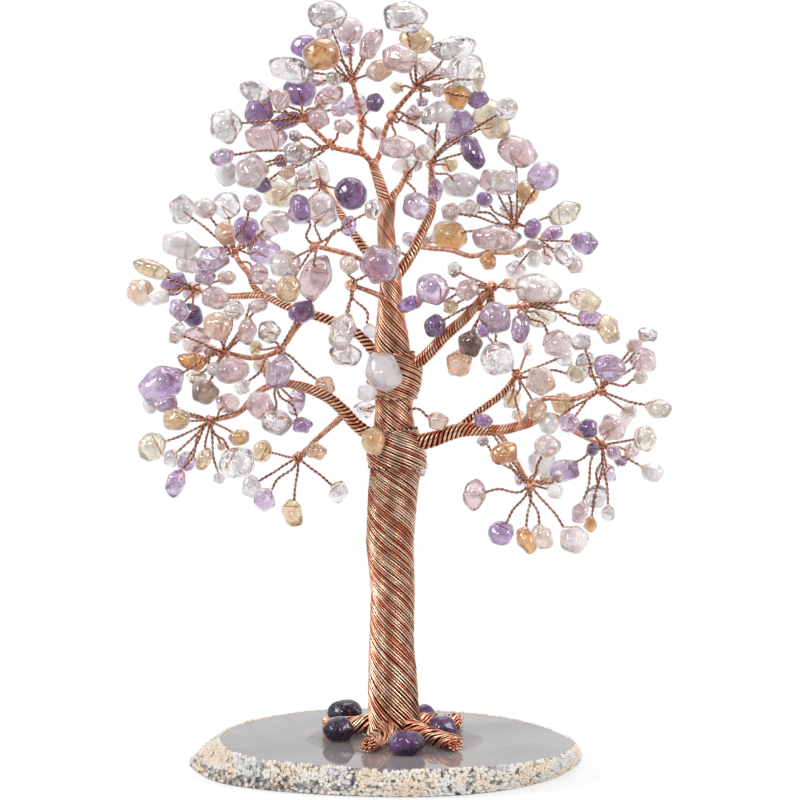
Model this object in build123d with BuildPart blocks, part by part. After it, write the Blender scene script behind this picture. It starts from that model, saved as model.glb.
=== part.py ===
from build123d import *
from math import atan2, cos, hypot, radians, sin, sqrt
import os

# A gemstone tree: tumbled chips on twisted copper wire, standing on a polished agate slice.
# The origin is on the slice's flat underside, below the trunk's axis. +Z is up, the front is -Y.
os.makedirs("parts", exist_ok=True)

# Driving sizes
photo_pixel = 0.2286          # one pixel of the photograph at the trunk
view_distance = 681.0         # from the lens to the trunk, along the line of sight
view_tilt = 5.0               # degrees that the line of sight points down
aim_height = 84.16            # where the line of sight crosses the trunk's axis
aim_column = 400              # pixel column of the line of sight
aim_row = 400                 # pixel row of the line of sight
trunk_column = 395            # pixel column of the trunk's axis at its foot

slice_thickness = 6.5
slice_half_width = 43.0
slice_half_depth = 35.0
slice_shift_x = -2.0
slice_shift_y = -3.0
slice_bulge = 0.6             # how far the rind stands out between the two faces

glue_thickness = 0.6
glue_half_width = 22.0
glue_half_depth = 20.0
glue_shift_y = -4.0

core_radius = 3.0             # the straight wires inside the trunk
core_top_height = 94.0        # hidden inside the upper collar
root_radius = 2.0
stone_height = 5.2
crown_half_depth = 40.0       # from the trunk to the nearest and the farthest sprays
spray_reach = 12.5            # a chip's usual distance from its hub
twig_radius = 0.36            # two chip wires twisted into a pair
knot_radius = 1.2             # the thick twist at each hub, where its twigs part
chip_gap = 0.35               # air left between neighbouring chips
chip_least_half_depth = 1.9
ball_search_height = 25.0     # wire farther than this above or below a chip can't touch it

# Shares and counts that shape the pieces
chip_thickness_share = 0.40   # half of a chip's thickness, of its smaller width
chip_front_share = 0.56
chip_fullness_share = 1.08    # a flat-faced stone is this much wider, to look as full
chip_back_share = 0.62
knot_level_shares = (-0.8, 0, 0.8)
trunk_balls_share = 3         # test balls in each trunk width of its height
flat_share = 1e-5             # how far from flat a four-cornered face may be, of its size
chip_tilts = (0, 22, -18, 10, -26, 15)
trunk_sides = 12
core_sides = 6
knot_sides = 5
root_sides = 6
bough_sides = 5
twig_sides = 3
settle_sweeps = 90
patient_sweeps = 30           # after these a chip caught between boughs comes out in front
chip_outline_shares = (
    ((0.98, 0.16), (0.12, 0.98), (-0.94, 0.52), (-0.80, -0.70), (0.46, -0.96)),
    ((0.95, 0.34), (0.10, 1.00), (-0.92, 0.42), (-0.66, -0.84), (0.58, -0.90)),
    ((0.92, 0.58), (-0.24, 1.00), (-1.02, 0.10), (-0.46, -0.94), (0.78, -0.74)),
)

slice_bottom_shares = (
    (1.05, 0.38), (0.93, 0.71), (0.63, 0.97), (0.16, 1.07), (-0.30, 1.06), (-0.70, 0.83),
    (-0.95, 0.49), (-1.06, 0.09), (-1.01, -0.17), (-0.89, -0.49), (-0.64, -0.73), (-0.37, -0.86),
    (0.05, -0.94), (0.39, -0.89), (0.67, -0.69), (0.89, -0.37), (1.02, 0.04),
)
slice_top_shares = (
    (0.93, 0.14), (0.80, 0.45), (0.55, 0.78), (0.14, 0.96), (-0.32, 0.98), (-0.62, 0.74),
    (-0.81, 0.42), (-0.89, 0.10), (-0.88, -0.17), (-0.77, -0.52), (-0.56, -0.75), (-0.32, -0.87),
    (0.00, -1.00), (0.36, -0.95), (0.66, -0.84), (0.93, -0.50), (1.00, -0.18),
)
glue_shares = (
    (0.96, 0.05), (0.70, 0.66), (0.10, 0.84), (-0.46, 0.90), (-0.88, 0.62), (-1.00, 0.04),
    (-0.78, -0.60), (-0.30, -1.00), (0.30, -0.96), (0.84, -0.58),
)

# The trunk's two edges in the photograph, piece by piece: row, left column, right column
lower_wrap_pixels = (
    (735, 366, 424), (722, 368, 422), (705, 368, 419), (685, 368, 418), (644, 369, 414),
    (593, 371, 415), (542, 366, 414), (491, 368, 418), (464, 370, 422),
)
lower_collar_pixels = ((464, 368, 427), (455, 366, 427), (442, 367, 424), (429, 371, 418))
middle_wrap_pixels = ((429, 373, 415), (412, 375, 413), (395, 375, 413))
upper_collar_pixels = ((395, 370, 418), (384, 366, 422), (368, 367, 423), (354, 373, 415))
upper_wrap_pixels = (
    (354, 374, 411), (334, 375, 408), (306, 378, 403), (285, 380, 402), (245, 378, 396),
    (224, 377, 394), (200, 380, 396),
)

# The boughs' routes: column, row, depth as a share of the crown's half depth, width in pixels
bough_pixel_shares = {
    "leader_left_arm": (
        ((388, 212, 0.00, 13), (381, 188, 0.00, 12), (375, 170, 0.01, 10), (372, 160, 0.02, 9)),
        ((373, 164, 0.01, 7), (364, 155, -0.04, 6), (350, 151, -0.10, 6), (331, 145, -0.16, 6),
         (302, 117, -0.10, 5)),
        ((373, 164, 0.02, 7), (360, 147, 0.04, 6), (362, 130, 0.06, 6), (359, 108, 0.08, 6),
         (352, 80, 0.04, 5)),
        ((374, 166, 0.03, 7), (381, 150, 0.06, 6), (386, 128, 0.08, 6), (398, 108, 0.04, 6),
         (417, 86, -0.04, 5)),
    ),
    "leader_right_arm": (
        ((388, 210, 0.02, 11), (393, 196, 0.06, 9), (400, 187, 0.12, 7), (407, 174, 0.18, 6)),
    ),
    "upper_right_bough": (
        ((392, 282, 0.00, 13), (403, 267, 0.03, 12), (414, 250, 0.06, 11), (423, 230, 0.10, 10),
         (431, 211, 0.14, 10), (432, 186, 0.18, 8), (431, 163, 0.20, 6)),
        ((417, 245, 0.07, 7), (429, 248, 0.14, 6), (450, 250, 0.24, 6), (474, 256, 0.32, 6),
         (497, 246, 0.30, 6), (515, 225, 0.26, 5)),
        ((485, 252, 0.32, 6), (512, 252, 0.44, 5), (535, 240, 0.56, 5)),
    ),
    "mid_right_bough": (
        ((400, 374, 0.00, 13), (424, 358, -0.08, 13), (445, 336, -0.16, 12), (467, 316, -0.22, 11),
         (491, 287, -0.26, 8)),
        ((474, 308, -0.23, 7), (496, 308, -0.34, 6), (524, 306, -0.44, 5)),
    ),
    "lower_right_bough": (
        ((398, 446, 0.00, 17), (430, 440, -0.06, 17), (462, 430, -0.10, 15), (499, 430, -0.12, 11),
         (526, 424, -0.10, 10), (551, 416, -0.08, 8), (576, 432, -0.04, 6), (602, 445, 0.00, 5)),
        ((454, 432, -0.09, 10), (478, 412, -0.02, 8), (502, 394, 0.06, 8), (517, 375, 0.12, 6)),
        ((520, 426, -0.11, 7), (542, 400, -0.24, 6), (572, 399, -0.30, 6), (600, 391, -0.34, 5)),
        ((497, 431, -0.12, 7), (508, 446, -0.22, 6), (518, 464, -0.30, 5), (530, 485, -0.34, 5)),
    ),
    "upper_left_bough": (
        ((390, 280, 0.02, 12), (378, 264, 0.10, 11), (367, 252, 0.16, 11), (358, 240, 0.20, 10),
         (348, 226, 0.26, 9), (337, 208, 0.32, 8), (321, 184, 0.38, 6)),
    ),
    "high_left_branch": (
        ((390, 286, 0.00, 8), (378, 272, -0.12, 7), (362, 260, -0.20, 6), (340, 252, -0.26, 6),
         (314, 246, -0.30, 5)),
    ),
    "short_left_branch": (
        ((390, 302, -0.02, 7), (376, 294, -0.18, 6), (352, 285, -0.34, 5)),
    ),
    "mid_left_bough": (
        ((392, 374, 0.02, 12), (374, 352, 0.08, 12), (358, 334, 0.10, 11), (332, 321, 0.10, 11),
         (303, 312, 0.10, 10), (286, 306, 0.12, 9), (261, 296, 0.16, 8), (227, 296, 0.20, 7),
         (195, 290, 0.22, 5)),
        ((266, 298, 0.15, 8), (254, 287, 0.20, 7), (249, 274, 0.28, 7), (240, 263, 0.36, 6),
         (234, 252, 0.42, 5)),
        ((308, 314, 0.10, 7), (296, 328, -0.02, 6), (279, 350, -0.12, 6), (253, 358, -0.22, 6),
         (224, 352, -0.32, 5)),
    ),
    "lower_left_bough": (
        ((392, 450, 0.00, 15), (359, 427, -0.04, 14), (344, 411, -0.08, 13), (327, 397, -0.12, 12),
         (300, 386, -0.14, 10), (276, 384, -0.16, 8), (256, 394, -0.20, 7), (238, 413, -0.24, 6),
         (210, 421, -0.26, 5)),
        ((346, 413, -0.07, 8), (334, 424, 0.02, 7), (318, 438, 0.10, 6), (298, 457, 0.14, 5)),
    ),
}

# Stones by letter: a amethyst, l lavender, r rose, p peach, c citrine, y pale citrine,
# q clear quartz, s smoky quartz
stone_names = {
    "a": "amethyst", "l": "lavender", "r": "rose_quartz", "p": "peach_quartz",
    "c": "citrine", "y": "pale_citrine", "q": "clear_quartz", "s": "smoky_quartz",
}

# The sprays: zone, twig group, hub (column, row, depth share), then the chips of that hub:
# stone, column, row, width, height, turn in degrees
spray_pixel_shares = (
    ("upper", "top", (352, 80, 0.04), (
        ("q", 327, 15, 38, 28, 0), ("r", 349, 31, 28, 28, 0), ("r", 369, 45, 20, 33, 0),
        ("a", 377, 40, 12, 25, 0), ("c", 324, 53, 40, 34, 10), ("l", 304, 45, 25, 22, 0),
        ("l", 324, 33, 16, 12, 0), ("q", 290, 68, 50, 26, -20), ("p", 379, 70, 26, 21, 0),
        ("l", 349, 51, 13, 14, 0), ("q", 333, 78, 17, 12, 0), ("r", 318, 81, 18, 10, 0))),
    ("upper", "top", (417, 86, -0.04), (
        ("q", 405, 17, 43, 31, 0), ("c", 416, 41, 35, 29, 0), ("r", 398, 58, 34, 28, 0),
        ("r", 429, 68, 30, 20, 0), ("q", 455, 47, 50, 24, 15), ("q", 466, 69, 36, 32, 0),
        ("y", 479, 79, 12, 27, 0), ("c", 456, 96, 28, 28, 0), ("a", 478, 99, 21, 17, 0),
        ("y", 398, 87, 13, 13, 0), ("r", 437, 89, 15, 12, 0), ("l", 422, 102, 12, 10, 0),
        ("q", 447, 73, 14, 10, 0))),
    ("upper", "top", (302, 117, -0.10), (
        ("a", 300, 92, 33, 33, 0), ("q", 255, 91, 33, 20, 0), ("a", 260, 110, 27, 32, 0),
        ("r", 281, 99, 19, 24, 0), ("a", 286, 121, 30, 17, 0), ("q", 225, 125, 31, 33, 0),
        ("r", 265, 138, 44, 30, 12), ("r", 318, 118, 20, 20, 0), ("r", 331, 94, 29, 17, 0),
        ("l", 339, 108, 17, 17, 0), ("q", 321, 104, 14, 13, 0))),
    ("upper", "top", (331, 145, -0.16), (
        ("q", 297, 153, 28, 22, 0), ("a", 281, 161, 14, 12, 0), ("r", 249, 172, 32, 34, 0),
        ("a", 262, 184, 20, 16, 0), ("l", 223, 156, 25, 17, 0), ("q", 226, 173, 21, 26, 0),
        ("r", 343, 126, 20, 14, 0), ("q", 295, 136, 14, 10, 0), ("p", 287, 172, 16, 14, 0))),
    ("upper", "top", (362, 122, 0.06), (
        ("l", 357, 104, 22, 22, 0), ("a", 374, 102, 18, 20, 0), ("r", 376, 134, 12, 14, 0))),
    ("upper", "top", (392, 116, 0.06), (
        ("r", 397, 147, 34, 22, 0), ("r", 413, 119, 16, 28, 0), ("q", 427, 116, 15, 19, 0),
        ("r", 434, 138, 13, 19, 0))),
    ("upper", "top", (407, 174, 0.18), (
        ("p", 425, 152, 24, 17, 0), ("r", 408, 164, 34, 20, -25), ("l", 416, 205, 28, 26, 0))),
    ("right", "upper_right", (431, 163, 0.20), (
        ("l", 458, 127, 30, 38, 0), ("a", 471, 151, 20, 37, 0), ("y", 494, 119, 34, 42, 0),
        ("q", 506, 108, 22, 24, 0), ("y", 449, 165, 16, 16, 0), ("l", 435, 190, 15, 22, 0),
        ("q", 461, 186, 37, 27, 0), ("q", 440, 112, 24, 22, 0))),
    ("right", "upper_right", (515, 225, 0.26), (
        ("r", 517, 150, 40, 30, 0), ("r", 506, 182, 28, 26, 0), ("r", 491, 181, 22, 26, 0),
        ("l", 484, 199, 16, 15, 0), ("c", 526, 192, 25, 26, 0), ("l", 543, 176, 33, 30, 50),
        ("y", 566, 212, 33, 22, 0), ("a", 532, 228, 17, 22, 0), ("r", 510, 211, 21, 18, 0),
        ("r", 496, 238, 48, 26, 0), ("r", 469, 209, 22, 19, 0), ("r", 450, 212, 19, 18, 0),
        ("c", 450, 234, 34, 32, 0), ("c", 489, 261, 17, 19, 0))),
    ("right", "upper_right", (535, 240, 0.56), (
        ("l", 553, 233, 22, 14, 0), ("l", 584, 242, 30, 22, -30), ("r", 547, 256, 14, 20, 0),
        ("q", 563, 253, 19, 26, 0), ("r", 575, 264, 17, 19, 0), ("q", 534, 259, 15, 16, 0),
        ("r", 515, 271, 19, 20, 0), ("q", 534, 245, 17, 13, 0), ("q", 518, 252, 14, 12, 0))),
    ("right", "mid_right", (491, 287, -0.26), (
        ("r", 537, 290, 46, 32, 0), ("p", 509, 284, 14, 14, 0), ("l", 497, 317, 32, 34, 0),
        ("q", 497, 358, 32, 33, 0), ("l", 432, 288, 33, 30, 0), ("q", 454, 270, 15, 15, 0),
        ("r", 467, 289, 23, 21, 0), ("l", 411, 303, 26, 15, 0), ("y", 450, 306, 15, 15, 0),
        ("a", 434, 327, 20, 24, 0), ("s", 470, 344, 24, 26, 0), ("p", 459, 364, 26, 30, 0))),
    ("right", "mid_right", (524, 306, -0.44), (
        ("y", 584, 300, 31, 22, 0), ("l", 592, 319, 29, 19, 0), ("y", 609, 329, 22, 32, 0),
        ("y", 543, 317, 30, 19, 0), ("l", 521, 328, 17, 30, 35), ("r", 556, 343, 30, 29, 0))),
    ("right", "lower_right", (517, 375, 0.12), (
        ("p", 540, 380, 28, 29, 0), ("q", 564, 356, 17, 23, 0), ("y", 577, 373, 21, 20, 0),
        ("y", 511, 400, 17, 21, 0), ("p", 536, 409, 20, 21, 0), ("r", 528, 349, 10, 15, 0),
        ("l", 483, 330, 14, 16, 0), ("y", 519, 416, 16, 12, 0))),
    ("right", "lower_right", (600, 391, -0.34), (
        ("q", 582, 341, 21, 18, 0), ("q", 586, 361, 19, 20, 0), ("l", 609, 367, 32, 26, 0),
        ("q", 647, 335, 22, 14, 20), ("r", 634, 345, 15, 14, 0), ("r", 645, 360, 27, 26, 0),
        ("p", 640, 377, 15, 12, 0), ("c", 562, 404, 22, 21, 0), ("l", 569, 423, 20, 19, 0),
        ("q", 549, 424, 20, 23, 0), ("y", 658, 409, 29, 21, -35), ("r", 629, 413, 15, 27, 0))),
    ("right", "lower_right", (602, 445, 0.00), (
        ("a", 589, 428, 21, 21, 0), ("r", 611, 428, 27, 28, -45), ("y", 645, 438, 22, 25, 0),
        ("r", 631, 451, 17, 19, 0), ("l", 613, 452, 14, 16, 0), ("l", 608, 473, 17, 21, 0),
        ("a", 592, 449, 13, 13, 0), ("l", 620, 461, 14, 10, 0),
        ("q", 652, 472, 25, 20, -30), ("q", 596, 497, 23, 25, 0), ("r", 579, 513, 16, 23, 0),
        ("c", 591, 524, 13, 15, 0), ("q", 609, 513, 14, 16, 0), ("l", 564, 470, 32, 23, -20))),
    ("right", "lower_right", (530, 485, -0.34), (
        ("r", 474, 494, 22, 31, -55), ("l", 500, 533, 27, 25, 0), ("c", 525, 540, 17, 28, 0),
        ("p", 543, 537, 20, 27, 0), ("r", 573, 539, 29, 29, 0), ("q", 540, 463, 25, 30, 0),
        ("q", 555, 491, 16, 15, 0), ("l", 520, 479, 12, 14, 0), ("r", 546, 446, 29, 25, -45),
        ("y", 547, 480, 16, 12, 0),
        ("c", 505, 452, 30, 22, -20), ("q", 483, 441, 12, 10, 0), ("a", 483, 420, 19, 13, 0),
        ("q", 558, 477, 11, 10, 0))),
    ("upper", "upper_left", (321, 184, 0.38), (
        ("a", 351, 194, 30, 36, 60), ("r", 319, 172, 18, 30, 0), ("q", 303, 178, 18, 25, 0),
        ("y", 279, 194, 34, 29, 0), ("l", 300, 214, 24, 20, 0))),
    ("left", "upper_left", (314, 246, -0.30), (
        ("r", 285, 264, 31, 29, 0), ("c", 287, 289, 24, 27, 0), ("r", 317, 276, 29, 48, 0),
        ("a", 301, 207, 20, 29, 0), ("r", 322, 209, 28, 36, 0), ("q", 373, 209, 17, 20, 0),
        ("l", 348, 226, 16, 22, 0))),
    ("left", "upper_left", (352, 285, -0.34), (
        ("p", 348, 264, 17, 20, 0), ("l", 382, 264, 38, 38, 0), ("r", 342, 331, 26, 40, 0),
        ("q", 345, 355, 31, 23, 0), ("q", 370, 331, 13, 14, 0))),
    ("left", "mid_left", (234, 252, 0.42), (
        ("q", 182, 210, 25, 31, 0), ("r", 204, 208, 22, 20, 0), ("q", 227, 204, 26, 27, 0),
        ("p", 226, 233, 20, 26, 0), ("a", 246, 230, 27, 30, 0), ("q", 179, 244, 38, 26, 0),
        ("r", 188, 263, 27, 21, 0), ("l", 213, 259, 32, 25, 0), ("r", 277, 222, 30, 24, 0),
        ("r", 252, 202, 19, 20, 0), ("l", 263, 252, 32, 26, 0), ("r", 259, 274, 18, 21, 0),
        ("r", 264, 235, 18, 12, 0))),
    ("left", "mid_left", (195, 290, 0.22), (
        ("y", 151, 268, 37, 17, 0), ("p", 141, 291, 26, 27, 0), ("q", 160, 296, 22, 18, 0),
        ("a", 174, 282, 26, 21, 0), ("r", 214, 297, 28, 22, 0), ("p", 226, 278, 19, 14, 0),
        ("l", 178, 309, 18, 24, 0), ("a", 193, 315, 21, 25, 0), ("l", 204, 276, 22, 18, 0),
        ("l", 191, 291, 18, 18, 0))),
    ("left", "mid_left", (224, 352, -0.32), (
        ("p", 217, 326, 28, 28, 0), ("r", 196, 341, 30, 29, 0), ("q", 176, 333, 14, 24, 0),
        ("r", 234, 309, 20, 20, 0), ("r", 259, 305, 21, 14, 0), ("r", 270, 286, 15, 16, 0),
        ("r", 247, 331, 18, 26, 0), ("c", 192, 361, 31, 18, 0), ("r", 232, 370, 44, 27, 50),
        ("l", 164, 382, 48, 34, 15), ("s", 204, 391, 28, 26, 0), ("y", 196, 378, 20, 16, 0),
        ("q", 214, 369, 14, 14, 0), ("p", 210, 351, 14, 12, 0))),
    ("left", "mid_left", (279, 350, -0.12), (
        ("l", 277, 373, 26, 36, 0), ("p", 325, 386, 20, 22, 0), ("q", 243, 387, 16, 15, 0),
        ("a", 302, 311, 26, 23, 0), ("q", 269, 331, 23, 22, 0), ("y", 255, 348, 14, 16, 0))),
    ("left", "lower_left", (210, 421, -0.26), (
        ("l", 167, 404, 22, 15, 0), ("q", 150, 406, 12, 17, 0), ("c", 175, 419, 34, 24, -35),
        ("y", 151, 448, 26, 29, 0), ("q", 171, 458, 16, 17, 0), ("l", 186, 462, 21, 21, 0),
        ("y", 203, 460, 14, 24, 0), ("l", 176, 482, 17, 29, -50), ("c", 240, 437, 22, 16, 0),
        ("q", 237, 462, 35, 32, 0), ("q", 219, 478, 12, 11, 0), ("r", 227, 403, 25, 21, 0),
        ("r", 259, 404, 26, 30, 0), ("y", 222, 446, 9, 9, 0))),
    ("left", "lower_left", (276, 384, -0.16), (
        ("q", 275, 421, 32, 27, 0), ("l", 296, 402, 18, 30, 35), ("l", 302, 425, 20, 16, 0),
        ("p", 262, 366, 18, 18, 0))),
    ("left", "lower_left", (298, 457, 0.14), (
        ("p", 315, 451, 21, 17, 0), ("q", 339, 491, 17, 22, 0), ("c", 293, 513, 20, 30, 0),
        ("l", 264, 499, 20, 25, 0), ("q", 251, 486, 19, 22, 0), ("c", 261, 451, 20, 24, 0))),
    ("left", "trunk_side", (392, 400, -0.02), (
        ("q", 382, 370, 34, 41, 0), ("y", 404, 381, 16, 24, 0), ("q", 366, 392, 20, 18, 0),
        ("q", 363, 411, 20, 19, 0), ("c", 373, 441, 23, 27, 0), ("q", 418, 468, 20, 20, 0),
        ("p", 437, 421, 20, 18, 0))),
    ("right", "trunk_side", (410, 256, 0.05), (
        ("l", 411, 239, 18, 15, 0), ("q", 396, 251, 12, 13, 0), ("r", 428, 239, 13, 13, 0))),
)

# Roots: column and row of the cut end's middle as it lies on the slice
root_end_pixels = {
    "root_left": (320, 727), "root_front": (376, 746), "root_right": (452, 744),
    "root_back": (460, 722),
}
# Root stones: column, row, width and height in pixels, turn in degrees
root_stone_pixels = {
    "root_stone_back_left": (347, 712, 34, 26, 10), "root_stone_front_left": (340, 729, 30, 26, 40),
    "root_stone_front": (406, 743, 35, 28, 0), "root_stone_right": (442, 728, 28, 26, 30),
    "root_stone_back_right": (427, 718, 19, 20, 0),
}


def place(column, row, depth):
    """The point at this depth that the photograph shows at this pixel."""
    tilt = radians(view_tilt)
    aim_x = (aim_column - trunk_column) * photo_pixel
    eye = Vector(aim_x, -view_distance * cos(tilt), aim_height + view_distance * sin(tilt))
    across = (column - aim_column) * photo_pixel
    upward = (aim_row - row) * photo_pixel
    seen = Vector(aim_x + across, upward * sin(tilt), aim_height + upward * cos(tilt))
    reach = (depth - eye.Y) / (seen.Y - eye.Y)
    return eye + (seen - eye) * reach


def place_on(column, row, height):
    """The point at this height that the photograph shows at this pixel."""
    near = place(column, row, -crown_half_depth)
    far = place(column, row, crown_half_depth)
    share = (height - near.Z) / (far.Z - near.Z)
    return near + (far - near) * share


def size_at(pixels, depth):
    """The real length that this many pixels show at this depth."""
    return pixels * photo_pixel * (view_distance + depth) / view_distance


def boxes_meet(first, second):
    """Whether two upright boxes have space in common."""
    apart_x = first.min.X > second.max.X or second.min.X > first.max.X
    apart_y = first.min.Y > second.max.Y or second.min.Y > first.max.Y
    apart_z = first.min.Z > second.max.Z or second.min.Z > first.max.Z
    return not (apart_x or apart_y or apart_z)


def neighbours(part, others):
    """The other pieces that may touch this one."""
    box = part.bounding_box()
    return [other for other in others if boxes_meet(box, other.bounding_box())]


def save(part, name):
    """Label a finished piece and write its file."""
    part.label = name
    export_step(part, f"parts/{name}.step")
    print(name, "solids", len(part.solids()), "volume", round(part.volume, 2))


def faceted(rings):
    """A closed solid with flat faces through rings of points, split into triangles where four
    corners don't lie flat."""
    faces = [Face(Wire.make_polygon(rings[0])), Face(Wire.make_polygon(rings[-1]))]
    for low, high in zip(rings, rings[1:]):
        for index, corner in enumerate(low):
            after = (index + 1) % len(low)
            normal = (low[after] - corner).cross(high[after] - corner)
            rise = abs(normal.normalized().dot(high[index] - corner))
            if rise < flat_share * sqrt(normal.length):
                faces.append(Face(Wire.make_polygon([corner, low[after], high[after], high[index]])))
            else:
                faces.append(Face(Wire.make_polygon([corner, low[after], high[after]])))
                faces.append(Face(Wire.make_polygon([corner, high[after], high[index]])))
    return Solid(Shell(faces))


def ring_on(plane, points):
    """Flat points of an outline as they lie on a plane."""
    return [plane.from_local_coords((x, y, 0)) for x, y in points]


def round_points(radius, count):
    """The corners of an even outline."""
    turns = [radians(360 * index / count) for index in range(count)]
    return [(radius * cos(turn), radius * sin(turn)) for turn in turns]


# The agate slice: a polished top, a sawn flat underside and a bulging natural rind
def slice_outline(shares, growth):
    """Closed curve through the outline's points."""
    points = []
    for share_x, share_y in shares:
        x = slice_shift_x + share_x * (slice_half_width + growth)
        y = slice_shift_y + share_y * (slice_half_depth + growth)
        points.append((x, y))
    Spline(*points, periodic=True)


slice_middle_shares = []
for low, high in zip(slice_bottom_shares, slice_top_shares):
    slice_middle_shares.append(((low[0] + high[0]) / 2, (low[1] + high[1]) / 2))

with BuildPart() as agate_slice:
    slice_levels = (
        (0, slice_bottom_shares, 0),
        (slice_thickness / 2, slice_middle_shares, slice_bulge),
        (slice_thickness, slice_top_shares, 0),
    )
    for level, level_shares, growth in slice_levels:
        with BuildSketch(Plane.XY.offset(level)):
            with BuildLine():
                slice_outline(level_shares, growth)
            make_face()
    loft(ruled=True)
save(agate_slice.part, "agate_slice")


# The trunk: straight wires in the core, wrapped wires over it, and two thicker collars where
# the boughs leave
def trunk_piece(edge_pixels, foot_height=None):
    """A wrapped length of the trunk, between its two edges in the photograph."""
    rings = []
    for row, left, right in edge_pixels:
        middle = place((left + right) / 2, row, 0)
        if foot_height is not None and not rings:
            middle.Z = foot_height
        outline = round_points(size_at((right - left) / 2, 0), trunk_sides)
        rings.append(ring_on(Plane(origin=middle, x_dir=(1, 0, 0), z_dir=(0, 0, 1)), outline))
    return faceted(rings)


with BuildPart() as trunk_core:
    with BuildSketch(Plane.XY.offset(slice_thickness)):
        RegularPolygon(core_radius, side_count=core_sides)
    extrude(amount=core_top_height - slice_thickness)
save(trunk_core.part, "trunk_core")

trunk_levels = (
    ("trunk_lower_wrap", lower_wrap_pixels, slice_thickness),
    ("trunk_lower_collar", lower_collar_pixels, None),
    ("trunk_middle_wrap", middle_wrap_pixels, None),
    ("trunk_upper_collar", upper_collar_pixels, None),
    ("trunk_upper_wrap", upper_wrap_pixels, None),
)
trunk_pieces = []
for name, edge_pixels, foot_height in trunk_levels:
    with BuildPart() as trunk_wrap:
        add(trunk_piece(edge_pixels, foot_height))
        add(trunk_core.part, mode=Mode.SUBTRACT)
    save(trunk_wrap.part, name)
    trunk_pieces.append(trunk_wrap.part)
trunk_pieces.append(trunk_core.part)


# The boughs: bundles of twisted pairs that leave the trunk and thin out at each fork
def limb(points, limb_radii, across, sides):
    """A tapering bundle of wire through the points of its route."""
    rings = []
    for index, point in enumerate(points):
        before = points[max(index - 1, 0)]
        after = points[min(index + 1, len(points) - 1)]
        square = Plane(origin=point, x_dir=across, z_dir=after - before)
        rings.append(ring_on(square, round_points(limb_radii[index], sides)))
    return faceted(rings)


def knot(hub):
    """The thick twist of wire where a hub's twigs part."""
    rings = []
    for share in knot_level_shares:
        belt = Plane(origin=hub, x_dir=(1, 0, 0), z_dir=(0, -1, 0)).offset(share * knot_radius)
        outline = round_points(knot_radius * sqrt(1 - share * share), knot_sides)
        rings.append(ring_on(belt, outline))
    return faceted(rings)


def nearest_bough(hub_pixel):
    """The bough whose route passes nearest to a hub in the photograph."""
    def distance(name):
        steps = [point for route in bough_pixel_shares[name] for point in route]
        return min(hypot(point[0] - hub_pixel[0], point[1] - hub_pixel[1]) for point in steps)
    return min(bough_pixel_shares, key=distance)


hub_knots = {name: [] for name in bough_pixel_shares}
for _, group, (column, row, share), _ in spray_pixel_shares:
    if group != "trunk_side":
        hub = place(column, row, share * crown_half_depth)
        hub_knots[nearest_bough((column, row))].append(knot(hub))

limb_balls = []
bough_parts = {}
for name, routes in bough_pixel_shares.items():
    limbs = []
    for route in routes:
        points = [place(column, row, share * crown_half_depth) for column, row, share, _ in route]
        limb_radii = [size_at(width / 2, point.Y) for (_, _, _, width), point in zip(route, points)]
        limbs.append(limb(points, limb_radii, (0, 1, 0), bough_sides))
        for start, end, first, last in zip(points, points[1:], limb_radii, limb_radii[1:]):
            steps = max(2, int((end - start).length / (first + last)))
            for step in range(steps + 1):
                share = step / steps
                limb_balls.append((start + (end - start) * share, first + (last - first) * share))
    with BuildPart() as bough:
        add(limbs + hub_knots[name])
        add(neighbours(bough.part, trunk_pieces + list(bough_parts.values())), mode=Mode.SUBTRACT)
    save(bough.part, name)
    bough_parts[name] = bough.part

for _, edge_pixels, _ in trunk_levels:
    for (row, left, right), (next_row, next_left, next_right) in zip(edge_pixels, edge_pixels[1:]):
        steps = max(1, int(trunk_balls_share * (row - next_row) / (right - left)))
        for step in range(steps + 1):
            share = step / steps
            column = (left + right + (next_left + next_right - left - right) * share) / 2
            half = (right - left + (next_right - next_left - right + left) * share) / 2
            middle = place(column, row + (next_row - row) * share, 0)
            limb_balls.append((middle, size_at(half, 0)))


# The chips: each hangs at its place in the photograph, and its depth is settled in a few sweeps
# until no two touch
class Chip:
    """One tumbled stone on its twig."""

    def __init__(self, index, zone, group, hub, letter, column, row, width, height, turn):
        self.index = index
        self.zone = zone
        self.group = group
        self.hub = hub
        self.letter = letter
        self.column = column
        self.row = row
        self.turn = turn
        flat = place(column, row, hub.Y)
        aside = (flat - hub).length
        reach = max(spray_reach, aside + twig_radius)
        side = 1 if index % 2 else -1
        self.depth = hub.Y + side * sqrt(reach * reach - aside * aside)
        self.half_width = chip_fullness_share * size_at(width / 2, self.depth)
        self.half_height = chip_fullness_share * size_at(height / 2, self.depth)
        least = min(self.half_width, self.half_height)
        self.half_depth = max(chip_least_half_depth, 2 * chip_thickness_share * least)
        self.move(0)

    def move(self, amount):
        """Shift the chip along its line of sight."""
        self.depth += amount
        self.centre = place(self.column, self.row, self.depth)

    def half_towards(self, x, z):
        """How far the chip reaches from its centre in this direction of the photograph."""
        angle = atan2(z, x) - radians(self.turn)
        return self.half_width * self.half_height / hypot(
            self.half_height * cos(angle), self.half_width * sin(angle)
        )


def crowding(chip, centre, half, half_depth):
    """How much depth is missing between a chip and a neighbour, and on which side it lies."""
    x = chip.centre.X - centre.X
    z = chip.centre.Z - centre.Z
    aside = hypot(x, z)
    room = chip.half_towards(x, z) + half(x, z) + chip_gap
    if aside >= room:
        return 0
    y = chip.centre.Y - centre.Y
    need = (chip.half_depth + half_depth + chip_gap) * sqrt(1 - (aside / room) ** 2)
    if abs(y) >= need:
        return 0
    return need - abs(y) if y > 0 else abs(y) - need


chips = []
for zone, group, (column, row, share), members in spray_pixel_shares:
    hub = place(column, row, share * crown_half_depth)
    for member in members:
        chips.append(Chip(len(chips), zone, group, hub, *member))

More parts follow.
